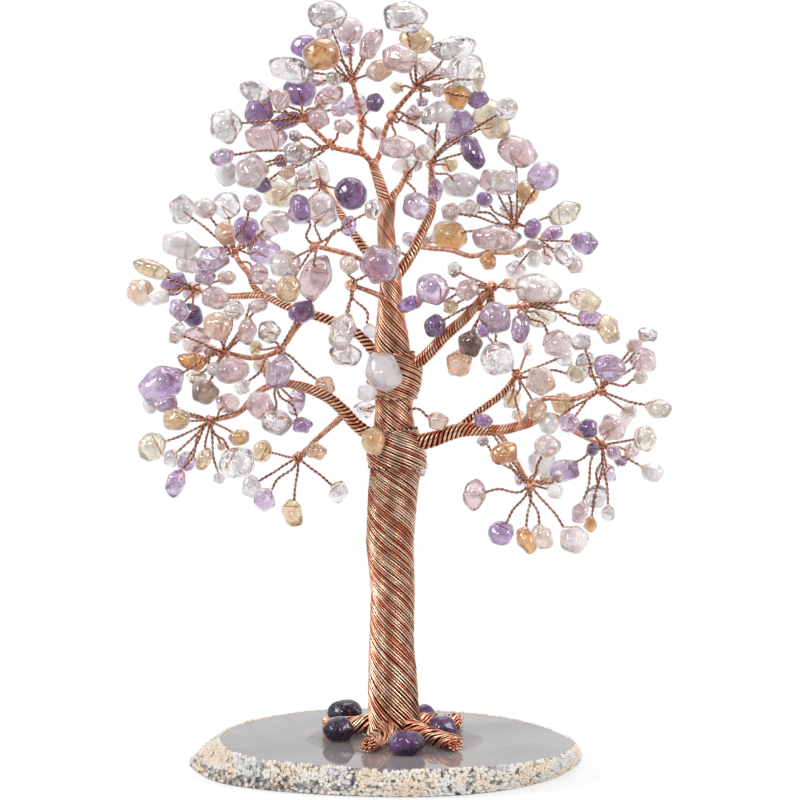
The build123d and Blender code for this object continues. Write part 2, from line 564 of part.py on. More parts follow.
for sweep in range(settle_sweeps):
    moved = 0
    for index, chip in enumerate(chips):
        for other in chips[:index]:
            push = crowding(chip, other.centre, other.half_towards, other.half_depth)
            if push:
                chip.move(push / 2)
                other.move(-push / 2)
                moved += 1
        for ball, ball_radius in limb_balls:
            if abs(ball.Z - chip.centre.Z) > ball_search_height:
                continue
            push = crowding(chip, ball, lambda x, z: ball_radius, ball_radius)
            if push:
                chip.move(push if sweep < patient_sweeps else -abs(push))
                moved += 1
    if not moved:
        break
print("settled after", sweep + 1, "sweeps, still moving", moved)


def chip_stone(chip):
    """A tumbled chip: three like outlines, widest in the middle."""
    outline = chip_outline_shares[chip.index % len(chip_outline_shares)]
    nod = chip_tilts[chip.index % len(chip_tilts)]
    swing = chip_tilts[(chip.index // 2) % len(chip_tilts)]
    face = Plane(origin=chip.centre, x_dir=(1, 0, 0), z_dir=(0, -1, 0)).rotated((nod, swing, chip.turn))
    return stone_solid(face, outline, chip.half_width, chip.half_height, chip.half_depth)


def stone_solid(belt, outline, half_width, half_height, half_depth):
    """A flat-faced stone whose outline draws in to both sides of its belt."""
    rings = []
    for offset, share in ((-half_depth, chip_back_share), (0, 1), (half_depth, chip_front_share)):
        points = [(x * share * half_width, y * share * half_height) for x, y in outline]
        rings.append(ring_on(belt.offset(offset), points))
    return faceted(rings)


for chip in chips:
    chip.stone = chip_stone(chip)

chip_nodes = {}
for chip in chips:
    chip_nodes.setdefault(f"chips_{stone_names[chip.letter]}_{chip.zone}", []).append(chip)
for name, members in chip_nodes.items():
    with BuildPart() as stones:
        add([chip.stone for chip in members])
    save(stones.part, name)


# The twigs: a twisted pair of wire from the hub to each chip
def twig(chip):
    """The straight stem of one chip."""
    line = chip.centre - chip.hub
    with BuildPart() as pair:
        with BuildSketch(Plane(origin=chip.hub, z_dir=line)):
            RegularPolygon(twig_radius, side_count=twig_sides)
        extrude(amount=line.length)
    return pair.part


def meets(chip, member):
    """Whether a chip may touch the twig of a member of the spray."""
    line = member.centre - member.hub
    along = (chip.centre - member.hub).dot(line) / line.dot(line)
    nearest = member.hub + line * min(max(along, 0), 1)
    largest = max(chip.half_width, chip.half_height, chip.half_depth)
    return (chip.centre - nearest).length < largest + twig_radius


wires = []
for wire in list(bough_parts.values()) + trunk_pieces:
    wires.append((wire.bounding_box(), wire))
for group in dict.fromkeys(chip.group for chip in chips):
    members = [chip for chip in chips if chip.group == group]
    near = [chip.stone for chip in chips if any(meets(chip, member) for member in members)]
    stems = [twig(chip) for chip in members]
    stem_boxes = [stem.bounding_box() for stem in stems]
    for box, wire in wires:
        if any(boxes_meet(box, stem_box) for stem_box in stem_boxes):
            near.append(wire)
    with BuildPart() as twigs:
        add(stems)
        add(near, mode=Mode.SUBTRACT)
    save(twigs.part, f"twigs_{group}")
    for piece in twigs.part.solids():
        wires.append((piece.bounding_box(), piece))

# The foot: wire ends splayed over the slice, dark tumbled stones between them and clear glue
foot_parts = []
for name, (column, row) in root_end_pixels.items():
    lift = slice_thickness + root_radius * cos(radians(180 / root_sides))
    end = place_on(column, row, lift)
    start = Vector(0, 0, lift)
    with BuildPart() as root:
        flat_down = end.cross(Vector(0, 0, 1))
        add(limb([start, end], [root_radius, root_radius], flat_down, root_sides))
        add(neighbours(root.part, trunk_pieces + foot_parts), mode=Mode.SUBTRACT)
    save(root.part, name)
    foot_parts.append(root.part)

for name, (column, row, width, height, turn) in root_stone_pixels.items():
    middle = place_on(column, row, slice_thickness + stone_height / 2)
    outline = chip_outline_shares[len(name) % len(chip_outline_shares)]
    belt = Plane(origin=(middle.X, middle.Y, slice_thickness + stone_height / 2)).rotated((0, 0, turn))
    half_width = size_at(width / 2, 0)
    half_height = size_at(height / 2, 0)
    with BuildPart() as root_stone:
        add(stone_solid(belt, outline, half_width, half_height, stone_height / 2))
        add(neighbours(root_stone.part, trunk_pieces + foot_parts), mode=Mode.SUBTRACT)
    save(root_stone.part, name)
    foot_parts.append(root_stone.part)

with BuildPart() as glue_film:
    glue_points = []
    for share_x, share_y in glue_shares:
        glue_points.append((share_x * glue_half_width, glue_shift_y + share_y * glue_half_depth))
    with BuildSketch(Plane.XY.offset(slice_thickness)):
        Polygon(*glue_points, align=None)
    extrude(amount=glue_thickness)
    add(neighbours(glue_film.part, trunk_pieces + foot_parts), mode=Mode.SUBTRACT)
save(glue_film.part, "glue_film")
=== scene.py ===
# %% [markdown]
# # A gemstone tree in copper wire
# The real ornament is made by hand. Each tumbled chip is threaded on fine copper wire, the wire is
# twisted into a pair below it, and pairs are gathered into sprays, boughs and a trunk. This scene
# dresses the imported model: it keeps every chip where the model has it and rebuilds the wire as
# separate strands, because the strands are what the eye reads first.

import math
import random

import bmesh
import bpy
from mathutils import Matrix, Vector, noise
from mathutils.bvhtree import BVHTree


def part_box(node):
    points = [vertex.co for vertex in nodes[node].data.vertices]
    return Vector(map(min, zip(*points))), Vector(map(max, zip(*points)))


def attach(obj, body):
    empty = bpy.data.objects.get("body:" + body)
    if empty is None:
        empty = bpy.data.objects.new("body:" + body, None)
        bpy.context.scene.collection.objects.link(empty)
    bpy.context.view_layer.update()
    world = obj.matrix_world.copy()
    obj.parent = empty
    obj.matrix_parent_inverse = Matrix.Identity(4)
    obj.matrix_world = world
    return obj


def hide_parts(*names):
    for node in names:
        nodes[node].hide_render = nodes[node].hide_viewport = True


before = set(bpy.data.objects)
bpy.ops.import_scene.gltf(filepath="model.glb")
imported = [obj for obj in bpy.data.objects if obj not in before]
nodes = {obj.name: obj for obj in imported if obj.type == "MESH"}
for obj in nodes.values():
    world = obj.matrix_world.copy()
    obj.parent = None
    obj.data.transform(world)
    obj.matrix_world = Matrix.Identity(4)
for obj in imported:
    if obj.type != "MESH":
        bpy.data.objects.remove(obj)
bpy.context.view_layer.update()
frame_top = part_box("agate_slice")[1].z

# %% [markdown]
# ## The camera
# The photograph was taken from a little above, through a long lens. The same pinhole places the
# wires: a pixel of the photograph and a depth give a point of the tree.

# %% Camera and the pinhole that the routes use
mm = 0.001
photo_pixel = 0.2286 * mm
view_distance = 681 * mm
view_tilt = math.radians(5)
aim_height = 84.16 * mm
crown_half_depth = 40 * mm
aim_column = 400
aim_row = 400
trunk_column = 395
sensor_width = 36
photo_width = 800

aim = Vector(((aim_column - trunk_column) * photo_pixel, 0, aim_height))
eye = aim + view_distance * Vector((0, -math.cos(view_tilt), math.sin(view_tilt)))


def place(column, row, depth):
    """The point at this depth that the photograph shows at this pixel."""
    across = (column - aim_column) * photo_pixel
    upward = (aim_row - row) * photo_pixel
    seen = aim + Vector((across, upward * math.sin(view_tilt), upward * math.cos(view_tilt)))
    return eye + (seen - eye) * ((depth - eye.y) / (seen.y - eye.y))


def size_at(pixels, depth):
    """The real length that this many pixels show at this depth."""
    return pixels * photo_pixel * (view_distance + depth) / view_distance


camera_data = bpy.data.cameras.new("camera")
camera_data.sensor_width = sensor_width
camera_data.lens = sensor_width * view_distance / (photo_width * photo_pixel)
camera_data.clip_start = 0.05
camera = bpy.data.objects.new("camera", camera_data)
camera.location = eye
camera.rotation_euler = (math.pi / 2 - view_tilt, 0, 0)
bpy.context.collection.objects.link(camera)
bpy.context.scene.camera = camera
bpy.context.scene.view_settings.view_transform = "Standard"
print("lens", round(camera_data.lens, 1))

# %% [markdown]
# ## Helpers for meshes
# Everything here is either a tube along a path or a tumbled stone, so two helpers make nearly all
# of the tree. A tube could be a bevelled curve. It is swept by hand instead, because thousands of
# short wires then share one mesh.


# %% Directions, layers and smooth paths
up = Vector((0, 0, 1))


def around(across, over, turn):
    """The direction at an angle in the plane of two square directions."""
    return across * math.cos(turn) + over * math.sin(turn)


def point_layer(mesh, name):
    """A value that the mesh keeps on each point, for its material to read."""
    layers = mesh.verts.layers.float
    return layers.get(name) or layers.new(name)


def smooth_path(points, step):
    """Points along a Catmull-Rom curve, about one step apart."""
    path = []
    ends = [points[0] * 2 - points[1]] + list(points) + [points[-1] * 2 - points[-2]]
    for a, b, c, d in zip(ends, ends[1:], ends[2:], ends[3:]):
        count = max(2, int((c - b).length / step))
        for index in range(count):
            t = index / count
            bend = (2 * a - 5 * b + 4 * c - d) * t * t + (3 * b - a - 3 * c + d) * t * t * t
            path.append((2 * b + (c - a) * t + bend) / 2)
    path.append(points[-1].copy())
    return path


def frames_along(path):
    """A pair of directions square to the path at each point, carried along without twist."""
    frames = []
    across = None
    for index, point in enumerate(path):
        ahead = path[min(index + 1, len(path) - 1)] - path[max(index - 1, 0)]
        ahead.normalize()
        if across is None:
            across = ahead.orthogonal()
        across = (across - ahead * across.dot(ahead)).normalized()
        frames.append((across.copy(), ahead.cross(across)))
    return frames


def strand_tone(*spot):
    """How bright a strand is, different for each and the same on each run."""
    return 0.5 + 0.9 * noise.noise(Vector(spot))


# %% Sweep a tube and finish a piece
# A wire with no bundle under it counts as all outer side, so it gets no painted groove shade.
free_side = 0.9                  # a wire with no bundle under it counts as its outer side


def add_tube(mesh, path, radius, sides=5, middles=None, tone=0.5):
    """Sweep a round section along a path. The radius is one value or one per point. Where a wire
    lies on a bundle, middles are the bundle's centres, and the wire's outer side is marked, so
    that its material can paint shade on the side that faces the bundle."""
    outer = point_layer(mesh, "outer")
    tones = point_layer(mesh, "tone")
    rings = []
    for index, (point, (across, over)) in enumerate(zip(path, frames_along(path))):
        size = radius[index] if isinstance(radius, list) else radius
        away = (point - middles[index]).normalized() if middles else None
        ring = []
        for side in range(sides):
            arm = around(across, over, 2 * math.pi * side / sides)
            vert = mesh.verts.new(point + size * arm)
            vert[outer] = 0.5 + 0.5 * arm.dot(away) if middles else free_side
            vert[tones] = tone
            ring.append(vert)
        rings.append(ring)
    for low, high in zip(rings, rings[1:]):
        for side in range(sides):
            after = (side + 1) % sides
            mesh.faces.new((low[side], low[after], high[after], high[side]))
    mesh.faces.new(list(reversed(rings[0])))
    mesh.faces.new(rings[-1])


def finish_piece(mesh, name, material, replaced=(), smooth=True):
    """Turn a bmesh into a piece that rides on the tree."""
    for face in mesh.faces:
        face.smooth = smooth
    data = bpy.data.meshes.new(name)
    mesh.to_mesh(data)
    mesh.free()
    data.materials.append(material)
    piece = bpy.data.objects.new(name, data)
    bpy.context.collection.objects.link(piece)
    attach(piece, "root")
    if replaced:
        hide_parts(*replaced)
    print(name, len(data.polygons), "faces")
    return piece


def dress_node(name, material):
    """Give a node of the model, which keeps its own mesh, its real finish."""
    nodes[name].data.materials.clear()
    nodes[name].data.materials.append(material)
    print(name, "dressed in", material.name)


# %% [markdown]
# ## Shared finishes
# Copper and stone both change tone over their surface. A painted picture could hold that, but it
# would need a layout for thousands of wires. Noise on the object's own coordinates needs none, so
# each effect is a node group of noises and ramps, with its own values in every material.

# %% Node helpers
def add_node(tree, kind, **settings):
    """A new node, with those settings that differ from its defaults."""
    node = tree.nodes.new(kind)
    for setting, value in settings.items():
        setattr(node, setting, value)
    return node


def feed(tree, source, socket):
    """Give an input its source: another node's output, or a plain number or colour."""
    if isinstance(source, bpy.types.NodeSocket):
        tree.links.new(source, socket)
    else:
        socket.default_value = source


def set_inputs(tree, node, values):
    """Give several named inputs of a node their sources."""
    for label, source in values.items():
        feed(tree, source, node.inputs[label])


def new_group(name, inputs, outputs):
    """An empty shader group with its sockets."""
    group = bpy.data.node_groups.new(name, "ShaderNodeTree")
    for label, kind, default in inputs:
        socket = group.interface.new_socket(label, in_out="INPUT", socket_type=kind)
        socket.default_value = default
    for label, kind in outputs:
        group.interface.new_socket(label, in_out="OUTPUT", socket_type=kind)
    start = add_node(group, "NodeGroupInput")
    end = add_node(group, "NodeGroupOutput")
    return group, start.outputs, end


def object_place(tree):
    """The object's own coordinates."""
    return add_node(tree, "ShaderNodeTexCoord").outputs["Object"]


def point_value(tree, name):
    """A value that the mesh keeps on its points."""
    return add_node(tree, "ShaderNodeAttribute", attribute_name=name).outputs["Fac"]


def noise_node(tree, scale, detail, distortion=0.0):
    """A noise texture on the object's own coordinates."""
    node = add_node(tree, "ShaderNodeTexNoise")
    set_inputs(tree, node, {
        "Vector": object_place(tree), "Scale": scale, "Detail": detail, "Distortion": distortion})
    return node


def math_node(tree, operation, *sources):
    """The result of a sum on up to three sources."""
    node = add_node(tree, "ShaderNodeMath", operation=operation)
    for source, socket in zip(sources, node.inputs):
        feed(tree, source, socket)
    return node.outputs[0]


def mix_node(tree, factor, first, second, blend="MIX"):
    """Two colours mixed by a factor."""
    node = add_node(tree, "ShaderNodeMix", data_type="RGBA", blend_type=blend)
    set_inputs(tree, node, {"Factor": factor, "A": first, "B": second})
    return node.outputs["Result"]


def ramp_node(tree, factor, stops):
    """A colour ramp fed by a factor. The colour of a stop is a grey or a red, green and blue."""
    ramp = add_node(tree, "ShaderNodeValToRGB")
    while len(ramp.color_ramp.elements) < len(stops):
        ramp.color_ramp.elements.new(0.5)
    for element, (position, colour) in zip(ramp.color_ramp.elements, stops):
        element.position = position
        element.color = (*colour, 1) if isinstance(colour, tuple) else (colour, colour, colour, 1)
    tree.links.new(factor, ramp.inputs["Fac"])
    return ramp.outputs["Color"]


def add_bump(tree, shader, height, strength, distance):
    """Let a height tilt the light on a shader."""
    bump = add_node(tree, "ShaderNodeBump")
    set_inputs(tree, bump, {"Height": height, "Strength": strength, "Distance": distance})
    tree.links.new(bump.outputs["Normal"], shader.inputs["Normal"])


# %% The stone veil group: cloudy zones and pale wisps in a tumbled chip
surface_outputs = (("Colour", "NodeSocketColor"), ("Roughness", "NodeSocketFloat"),
                   ("Height", "NodeSocketFloat"))
wisp_scale = 620
stone_tone_reach = 0.34          # how far a stone's own tone shifts it from clear to deep
crack_scale = 330
crack_bend = 0.004
crack_depth = 0.8
speck_scale = 1500
dimple_scale = 520

veil, veil_in, veil_out = new_group("stone_veil", (
    ("Clear colour", "NodeSocketColor", (0.9, 0.9, 0.9, 1)),
    ("Deep colour", "NodeSocketColor", (0.5, 0.4, 0.6, 1)),
    ("Wisp colour", "NodeSocketColor", (1.0, 1.0, 1.0, 1)),
    ("Cloud size", "NodeSocketFloat", 230.0),
    ("Cloud share", "NodeSocketFloat", 0.5),
    ("Wisp share", "NodeSocketFloat", 0.5),
    ("Stone tone", "NodeSocketFloat", 0.5),
), surface_outputs)
cloud = noise_node(veil, veil_in["Cloud size"], 5)
more_cloud = math_node(veil, "SUBTRACT", veil_in["Cloud share"], 0.5)
cloudy = math_node(veil, "ADD", cloud.outputs["Fac"], more_cloud)
toned = math_node(veil, "MULTIPLY_ADD", veil_in["Stone tone"], stone_tone_reach, cloudy)
cloud_mask = ramp_node(veil, toned, ((0.50, 0), (0.78, 1)))
zoned = mix_node(veil, cloud_mask, veil_in["Clear colour"], veil_in["Deep colour"])
wisp = noise_node(veil, wisp_scale, 6, 1.6)
wisp_line = ramp_node(veil, wisp.outputs["Fac"], ((0.49, 0), (0.54, 1), (0.60, 0)))
wisp_mask = math_node(veil, "MULTIPLY", wisp_line, veil_in["Wisp share"])
veined = mix_node(veil, wisp_mask, zoned, veil_in["Wisp colour"])
print("group", veil.name, "has its clouds and wisps")

# %% The stone veil group: hairline cracks, specks and dimples
bent_place = add_node(veil, "ShaderNodeVectorMath", operation="MULTIPLY_ADD")
bend_sources = (cloud.outputs["Color"], (crack_bend, crack_bend, crack_bend), object_place(veil))
for source, socket in zip(bend_sources, bent_place.inputs):
    feed(veil, source, socket)
crack = add_node(veil, "ShaderNodeTexVoronoi", feature="DISTANCE_TO_EDGE")
set_inputs(veil, crack, {"Scale": crack_scale, "Vector": bent_place.outputs["Vector"]})
crack_line = ramp_node(veil, crack.outputs["Distance"], (
    (0.0, (0.40, 0.34, 0.37)), (0.045, (0.76, 0.72, 0.74)), (0.08, 1)))
crack_zone = ramp_node(veil, cloud.outputs["Fac"], ((0.44, 0), (0.52, 1)))
crack_mask = math_node(veil, "MULTIPLY", veil_in["Wisp share"], crack_zone)
cracked = mix_node(veil, crack_mask, veined, crack_line, "MULTIPLY")
speck = noise_node(veil, speck_scale, 3)
speck_gloss = ramp_node(veil, speck.outputs["Fac"], ((0.5, 0.02), (0.75, 0.16)))
dimple = noise_node(veil, dimple_scale, 3)
relief = math_node(veil, "MULTIPLY_ADD", crack_line, crack_depth, dimple.outputs["Fac"])
set_inputs(veil, veil_out, {"Colour": cracked, "Roughness": speck_gloss, "Height": relief})
print("group", veil.name, "is complete")

# %% The wire tone group: bright and oxidised lengths of copper, and painted shade between wires
wire_tone_reach = 0.7            # how far a strand's own tone shifts it from dull to bright
scratch_scale = 2600

wire_tone, wire_in, wire_out = new_group("wire_tone", (
    ("Bright colour", "NodeSocketColor", (0.85, 0.5, 0.36, 1)),
    ("Dull colour", "NodeSocketColor", (0.35, 0.14, 0.08, 1)),
    ("Groove shade colour", "NodeSocketColor", (0.03, 0.008, 0.005, 1)),
    ("Patch size", "NodeSocketFloat", 300.0),
    ("Outer side", "NodeSocketFloat", 1.0),
    ("Wire tone", "NodeSocketFloat", 0.5),
), surface_outputs)
patch = noise_node(wire_tone, wire_in["Patch size"], 4)
own_patch = math_node(
    wire_tone, "MULTIPLY_ADD", wire_in["Wire tone"], wire_tone_reach, patch.outputs["Fac"])
fresh_mask = ramp_node(wire_tone, own_patch, ((0.62, 0), (1.0, 1)))
patchy = mix_node(wire_tone, fresh_mask, wire_in["Dull colour"], wire_in["Bright colour"])
# Painted shade: the side of a wire that faces its bundle gets the dark groove colour.
outer_shade_mask = ramp_node(wire_tone, wire_in["Outer side"], ((0.58, 0), (0.90, 1)))
shaded_by_groove = mix_node(wire_tone, outer_shade_mask, wire_in["Groove shade colour"], patchy)
wire_gloss = ramp_node(wire_tone, patch.outputs["Fac"], ((0.3, 0.40), (0.7, 0.29)))
scratch = noise_node(wire_tone, scratch_scale, 2)
set_inputs(wire_tone, wire_out, {
    "Colour": shaded_by_groove, "Roughness": wire_gloss, "Height": scratch.outputs["Fac"]})
print("group", wire_tone.name, "is complete")


# %% Material builders
quartz_ior = 1.54
polish_roughness = 0.03


def new_material(name):
    """A material with an empty Principled shader."""
    material = bpy.data.materials.new(name)
    material.use_nodes = True
    return material, material.node_tree, material.node_tree.nodes["Principled BSDF"]


def use_group(tree, group, shader, values, strength, distance):
    """Put a shared effect into a material and wire its outputs to the shader."""
    node = add_node(tree, "ShaderNodeGroup", node_tree=group)
    set_inputs(tree, node, values)
    tree.links.new(node.outputs["Colour"], shader.inputs["Base Color"])
    tree.links.new(node.outputs["Roughness"], shader.inputs["Roughness"])
    add_bump(tree, shader, node.outputs["Height"], strength, distance)


def copper(name, bright, dull, groove_shade_colour, patch_size):
    """Bare copper wire: fresh and oxidised lengths, and painted shade between two wires."""
    material, tree, shader = new_material(name)
    shader.inputs["Metallic"].default_value = 1.0
    use_group(tree, wire_tone, shader, {
        "Bright colour": (*bright, 1), "Dull colour": (*dull, 1), "Groove shade colour": (*groove_shade_colour, 1),
        "Patch size": patch_size, "Outer side": point_value(tree, "outer"),
        "Wire tone": point_value(tree, "tone"),
    }, strength=0.15, distance=0.02 * mm)
    return material


def tumbled_stone(name, clear, deep, wisps, glassiness, cloud_share, wisp_share, coat=1.0):
    """A tumbled, polished stone: part glass, part cloudy mineral, in its own tones."""
    material, tree, shader = new_material(name)
    set_inputs(tree, shader, {
        "Transmission Weight": glassiness, "IOR": quartz_ior,
        "Coat Weight": coat, "Coat Roughness": polish_roughness})
    use_group(tree, veil, shader, {
        "Clear colour": (*clear, 1), "Deep colour": (*deep, 1), "Wisp colour": (*wisps, 1),
        "Cloud share": cloud_share, "Wisp share": wisp_share,
        "Stone tone": point_value(tree, "tone"),
    }, strength=0.5, distance=0.25 * mm)
    return material


# %% [markdown]
# ## The wires
# The trunk is a wrap of strands that climb to the left as they go round. Lower down they lie at
# about 45 degrees, and at the two collars they lie flatter. A cylinder with grooves in its bump
# would have a smooth outline, so each strand is a tube, and light breaks on it as on real wire.

# %% Copper materials: fresh colour, oxidised colour, painted groove shade and size of the patches
painted_groove_shade = (0.055, 0.014, 0.008)
# The third colour of each copper is painted shade for the groove between wires.
bright_copper = copper("bright_copper", (0.93, 0.69, 0.50), (0.50, 0.135, 0.07), painted_groove_shade, 330)
twisted_copper = copper(
    "twisted_copper", (0.97, 0.57, 0.40), (0.68, 0.25, 0.15), (0.17, 0.050, 0.028), 700)
bough_copper = copper(
    "bough_copper", (0.96, 0.61, 0.43), (0.66, 0.21, 0.115), (0.08, 0.02, 0.011), 450)
# Nearly black copper: painted shade for the wires deep inside a bundle, seen through the gaps.
painted_shade_copper = copper("painted_shade_copper", (0.10, 0.03, 0.02), (0.04, 0.013, 0.009), painted_groove_shade, 300)
print("copper from", bright_copper.name, "to", painted_shade_copper.name)

# %% The trunk's edges in the photograph: row, left column, right column, strand angle in degrees
trunk_pixels = {
    "trunk_lower_wrap": ((735, 366, 424, 46), (722, 368, 422, 46), (705, 368, 419, 46),
                         (685, 368, 418, 45), (644, 369, 414, 43), (593, 371, 415, 41),
                         (542, 366, 414, 38), (491, 368, 418, 32), (464, 370, 422, 28)),
    "trunk_lower_collar": ((464, 368, 427, 24), (455, 366, 427, 22), (442, 367, 424, 21),
                           (429, 371, 418, 21)),
    "trunk_middle_wrap": ((429, 373, 415, 36), (412, 375, 413, 38), (395, 375, 413, 38)),
    "trunk_upper_collar": ((395, 370, 418, 22), (384, 366, 422, 21), (368, 367, 423, 21),
                           (354, 373, 415, 24)),
    "trunk_upper_wrap": ((354, 374, 411, 40), (334, 375, 408, 44), (306, 378, 403, 48),
                         (285, 380, 402, 50), (245, 378, 396, 55), (224, 377, 394, 57),
                         (200, 380, 396, 58)),
}
strand_counts = {
    "trunk_lower_wrap": 38, "trunk_lower_collar": 25, "trunk_middle_wrap": 28,
    "trunk_upper_collar": 24, "trunk_upper_wrap": 24,
}
strand_radius = 0.27 * mm
lap = 0.7 * mm
print("trunk lengths", len(trunk_pixels), "strands", sum(strand_counts.values()))


def level_at(levels, height):
    """Centre, radius and strand angle of the trunk at a height, between its measured levels."""
    for low, high in zip(levels, levels[1:]):
        if height <= high[0].z or high is levels[-1]:
            share = (height - low[0].z) / (high[0].z - low[0].z)
            share = min(max(share, 0), 1)
            middle = low[0].lerp(high[0], share)
            return middle, low[1] + (high[1] - low[1]) * share, low[2] + (high[2] - low[2]) * share
    return levels[-1]


# %% Wind the trunk
strand_share = 0.88              # of the room between two strands
strand_ripple = 0.5
strand_drift = 0.35
longest_climb = 0.9 * mm


def wind_trunk(name):
    """One length of the trunk as separate strands over an inner sleeve in painted shade."""
    levels = []
    for row, left, right, angle in trunk_pixels[name]:
        middle = place((left + right) / 2, row, 0)
        levels.append((middle, size_at((right - left) / 2, 0), math.radians(angle)))
    low_z, high_z = (corner.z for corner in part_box(name))
    if name != "trunk_lower_wrap":
        low_z -= lap
    high_z += lap
    mesh = bmesh.new()
    count = strand_counts[name]
    for strand in range(count):
        wobble = noise.noise(Vector((strand * 1.7, low_z * 90, 0)))
        turn = 2 * math.pi * (strand + 0.3 * wobble) / count
        path = []
        middles = []
        sizes = []
        height = low_z
        while height < high_z:
            middle, radius, angle = level_at(levels, height)
            ripple = noise.noise(Vector((strand * 0.9, height * 260, 3.1)))
            room = math.pi * radius * math.sin(angle) / count
            size = min(strand_radius, strand_share * room)
            reach = radius - size * (0.85 - strand_ripple * ripple)
            stray = noise.noise(Vector((strand * 2.3, height * 140, 8.6)))
            drift = strand_drift * room / radius * stray
            centre = Vector((middle.x, middle.y, height))
            arm = Vector((math.cos(turn + drift), math.sin(turn + drift), 0))
            path.append(centre + reach * arm)
            middles.append(centre)
            sizes.append(size)
            climb = min(0.32 * radius * math.tan(angle), longest_climb)
            turn -= climb / (math.tan(angle) * radius)
            height += climb
        add_tube(mesh, path, sizes, 6, middles, strand_tone(strand * 3.1, 0.4, low_z * 50))
    finish = bright_copper if "lower" in name else bough_copper
    finish_piece(mesh, name + "_strands", finish, (name,))
    sleeve = bmesh.new()
    sleeve_path = []
    sleeve_radii = []
    for middle, radius, _ in levels:
        sleeve_path.append(Vector((middle.x, middle.y, min(max(middle.z, low_z), high_z))))
        sleeve_radii.append(radius - 1.5 * strand_radius)
    add_tube(sleeve, sleeve_path, sleeve_radii, 24)
    # The sleeve shows only between the strands, so it is finished in painted shade.
    finish_piece(sleeve, name + "_sleeve", painted_shade_copper)


for name in trunk_pixels:
    wind_trunk(name)
# The model's trunk core is finished in painted shade as well.
dress_node("trunk_core", painted_shade_copper)

# %% [markdown]
# ## The boughs
# A bough is a rope: twisted pairs laid round each other, thinner after every fork. One curve could
# be twisted and repeated, but its strands would spread apart in the bends. So the routes are the
# model's, point by point, and the strands of each are laid round a core at an even slant.

# %% The boughs' routes: column, row, depth as a share of the crown's half depth, width in pixels
bough_pixel_shares = {
    "leader_left_arm": (
        ((388, 212, 0.00, 13), (381, 188, 0.00, 12), (375, 170, 0.01, 10), (372, 160, 0.02, 9)),
        ((373, 164, 0.01, 7), (364, 155, -0.04, 6), (350, 151, -0.10, 6), (331, 145, -0.16, 6),
         (302, 117, -0.10, 5)),
        ((373, 164, 0.02, 7), (360, 147, 0.04, 6), (362, 130, 0.06, 6), (359, 108, 0.08, 6),
         (352, 80, 0.04, 5)),
        ((374, 166, 0.03, 7), (381, 150, 0.06, 6), (386, 128, 0.08, 6), (398, 108, 0.04, 6),
         (417, 86, -0.04, 5)),
    ),
    "leader_right_arm": (
        ((388, 210, 0.02, 11), (393, 196, 0.06, 9), (400, 187, 0.12, 7), (407, 174, 0.18, 6)),
    ),
    "upper_right_bough": (
        ((392, 282, 0.00, 13), (403, 267, 0.03, 12), (414, 250, 0.06, 11), (423, 230, 0.10, 10),
         (431, 211, 0.14, 10), (432, 186, 0.18, 8), (431, 163, 0.20, 6)),
        ((417, 245, 0.07, 7), (429, 248, 0.14, 6), (450, 250, 0.24, 6), (474, 256, 0.32, 6),
         (497, 246, 0.30, 6), (515, 225, 0.26, 5)),
        ((485, 252, 0.32, 6), (512, 252, 0.44, 5), (535, 240, 0.56, 5)),
    ),
    "mid_right_bough": (
        ((400, 374, 0.00, 13), (424, 358, -0.08, 13), (445, 336, -0.16, 12), (467, 316, -0.22, 11),
         (491, 287, -0.26, 8)),
        ((474, 308, -0.23, 7), (496, 308, -0.34, 6), (524, 306, -0.44, 5)),
    ),
    "lower_right_bough": (
        ((398, 446, 0.00, 17), (430, 440, -0.06, 17), (462, 430, -0.10, 15), (499, 430, -0.12, 11),
         (526, 424, -0.10, 10), (551, 416, -0.08, 8), (576, 432, -0.04, 6), (602, 445, 0.00, 5)),
        ((454, 432, -0.09, 10), (478, 412, -0.02, 8), (502, 394, 0.06, 8), (517, 375, 0.12, 6)),
        ((520, 426, -0.11, 7), (542, 400, -0.24, 6), (572, 399, -0.30, 6), (600, 391, -0.34, 5)),
        ((497, 431, -0.12, 7), (508, 446, -0.22, 6), (518, 464, -0.30, 5), (530, 485, -0.34, 5)),
    ),
    "upper_left_bough": (
        ((390, 280, 0.02, 12), (378, 264, 0.10, 11), (367, 252, 0.16, 11), (358, 240, 0.20, 10),
         (348, 226, 0.26, 9), (337, 208, 0.32, 8), (321, 184, 0.38, 6)),
    ),
    "high_left_branch": (
        ((390, 286, 0.00, 8), (378, 272, -0.12, 7), (362, 260, -0.20, 6), (340, 252, -0.26, 6),
         (314, 246, -0.30, 5)),
    ),
    "short_left_branch": (
        ((390, 302, -0.02, 7), (376, 294, -0.18, 6), (352, 285, -0.34, 5)),
    ),
    "mid_left_bough": (
        ((392, 374, 0.02, 12), (374, 352, 0.08, 12), (358, 334, 0.10, 11), (332, 321, 0.10, 11),
         (303, 312, 0.10, 10), (286, 306, 0.12, 9), (261, 296, 0.16, 8), (227, 296, 0.20, 7),
         (195, 290, 0.22, 5)),
        ((266, 298, 0.15, 8), (254, 287, 0.20, 7), (249, 274, 0.28, 7), (240, 263, 0.36, 6),
         (234, 252, 0.42, 5)),
        ((308, 314, 0.10, 7), (296, 328, -0.02, 6), (279, 350, -0.12, 6), (253, 358, -0.22, 6),
         (224, 352, -0.32, 5)),
    ),
    "lower_left_bough": (
        ((392, 450, 0.00, 15), (359, 427, -0.04, 14), (344, 411, -0.08, 13), (327, 397, -0.12, 12),
         (300, 386, -0.14, 10), (276, 384, -0.16, 8), (256, 394, -0.20, 7), (238, 413, -0.24, 6),
         (210, 421, -0.26, 5)),
        ((346, 413, -0.07, 8), (334, 424, 0.02, 7), (318, 438, 0.10, 6), (298, 457, 0.14, 5)),
    ),
}
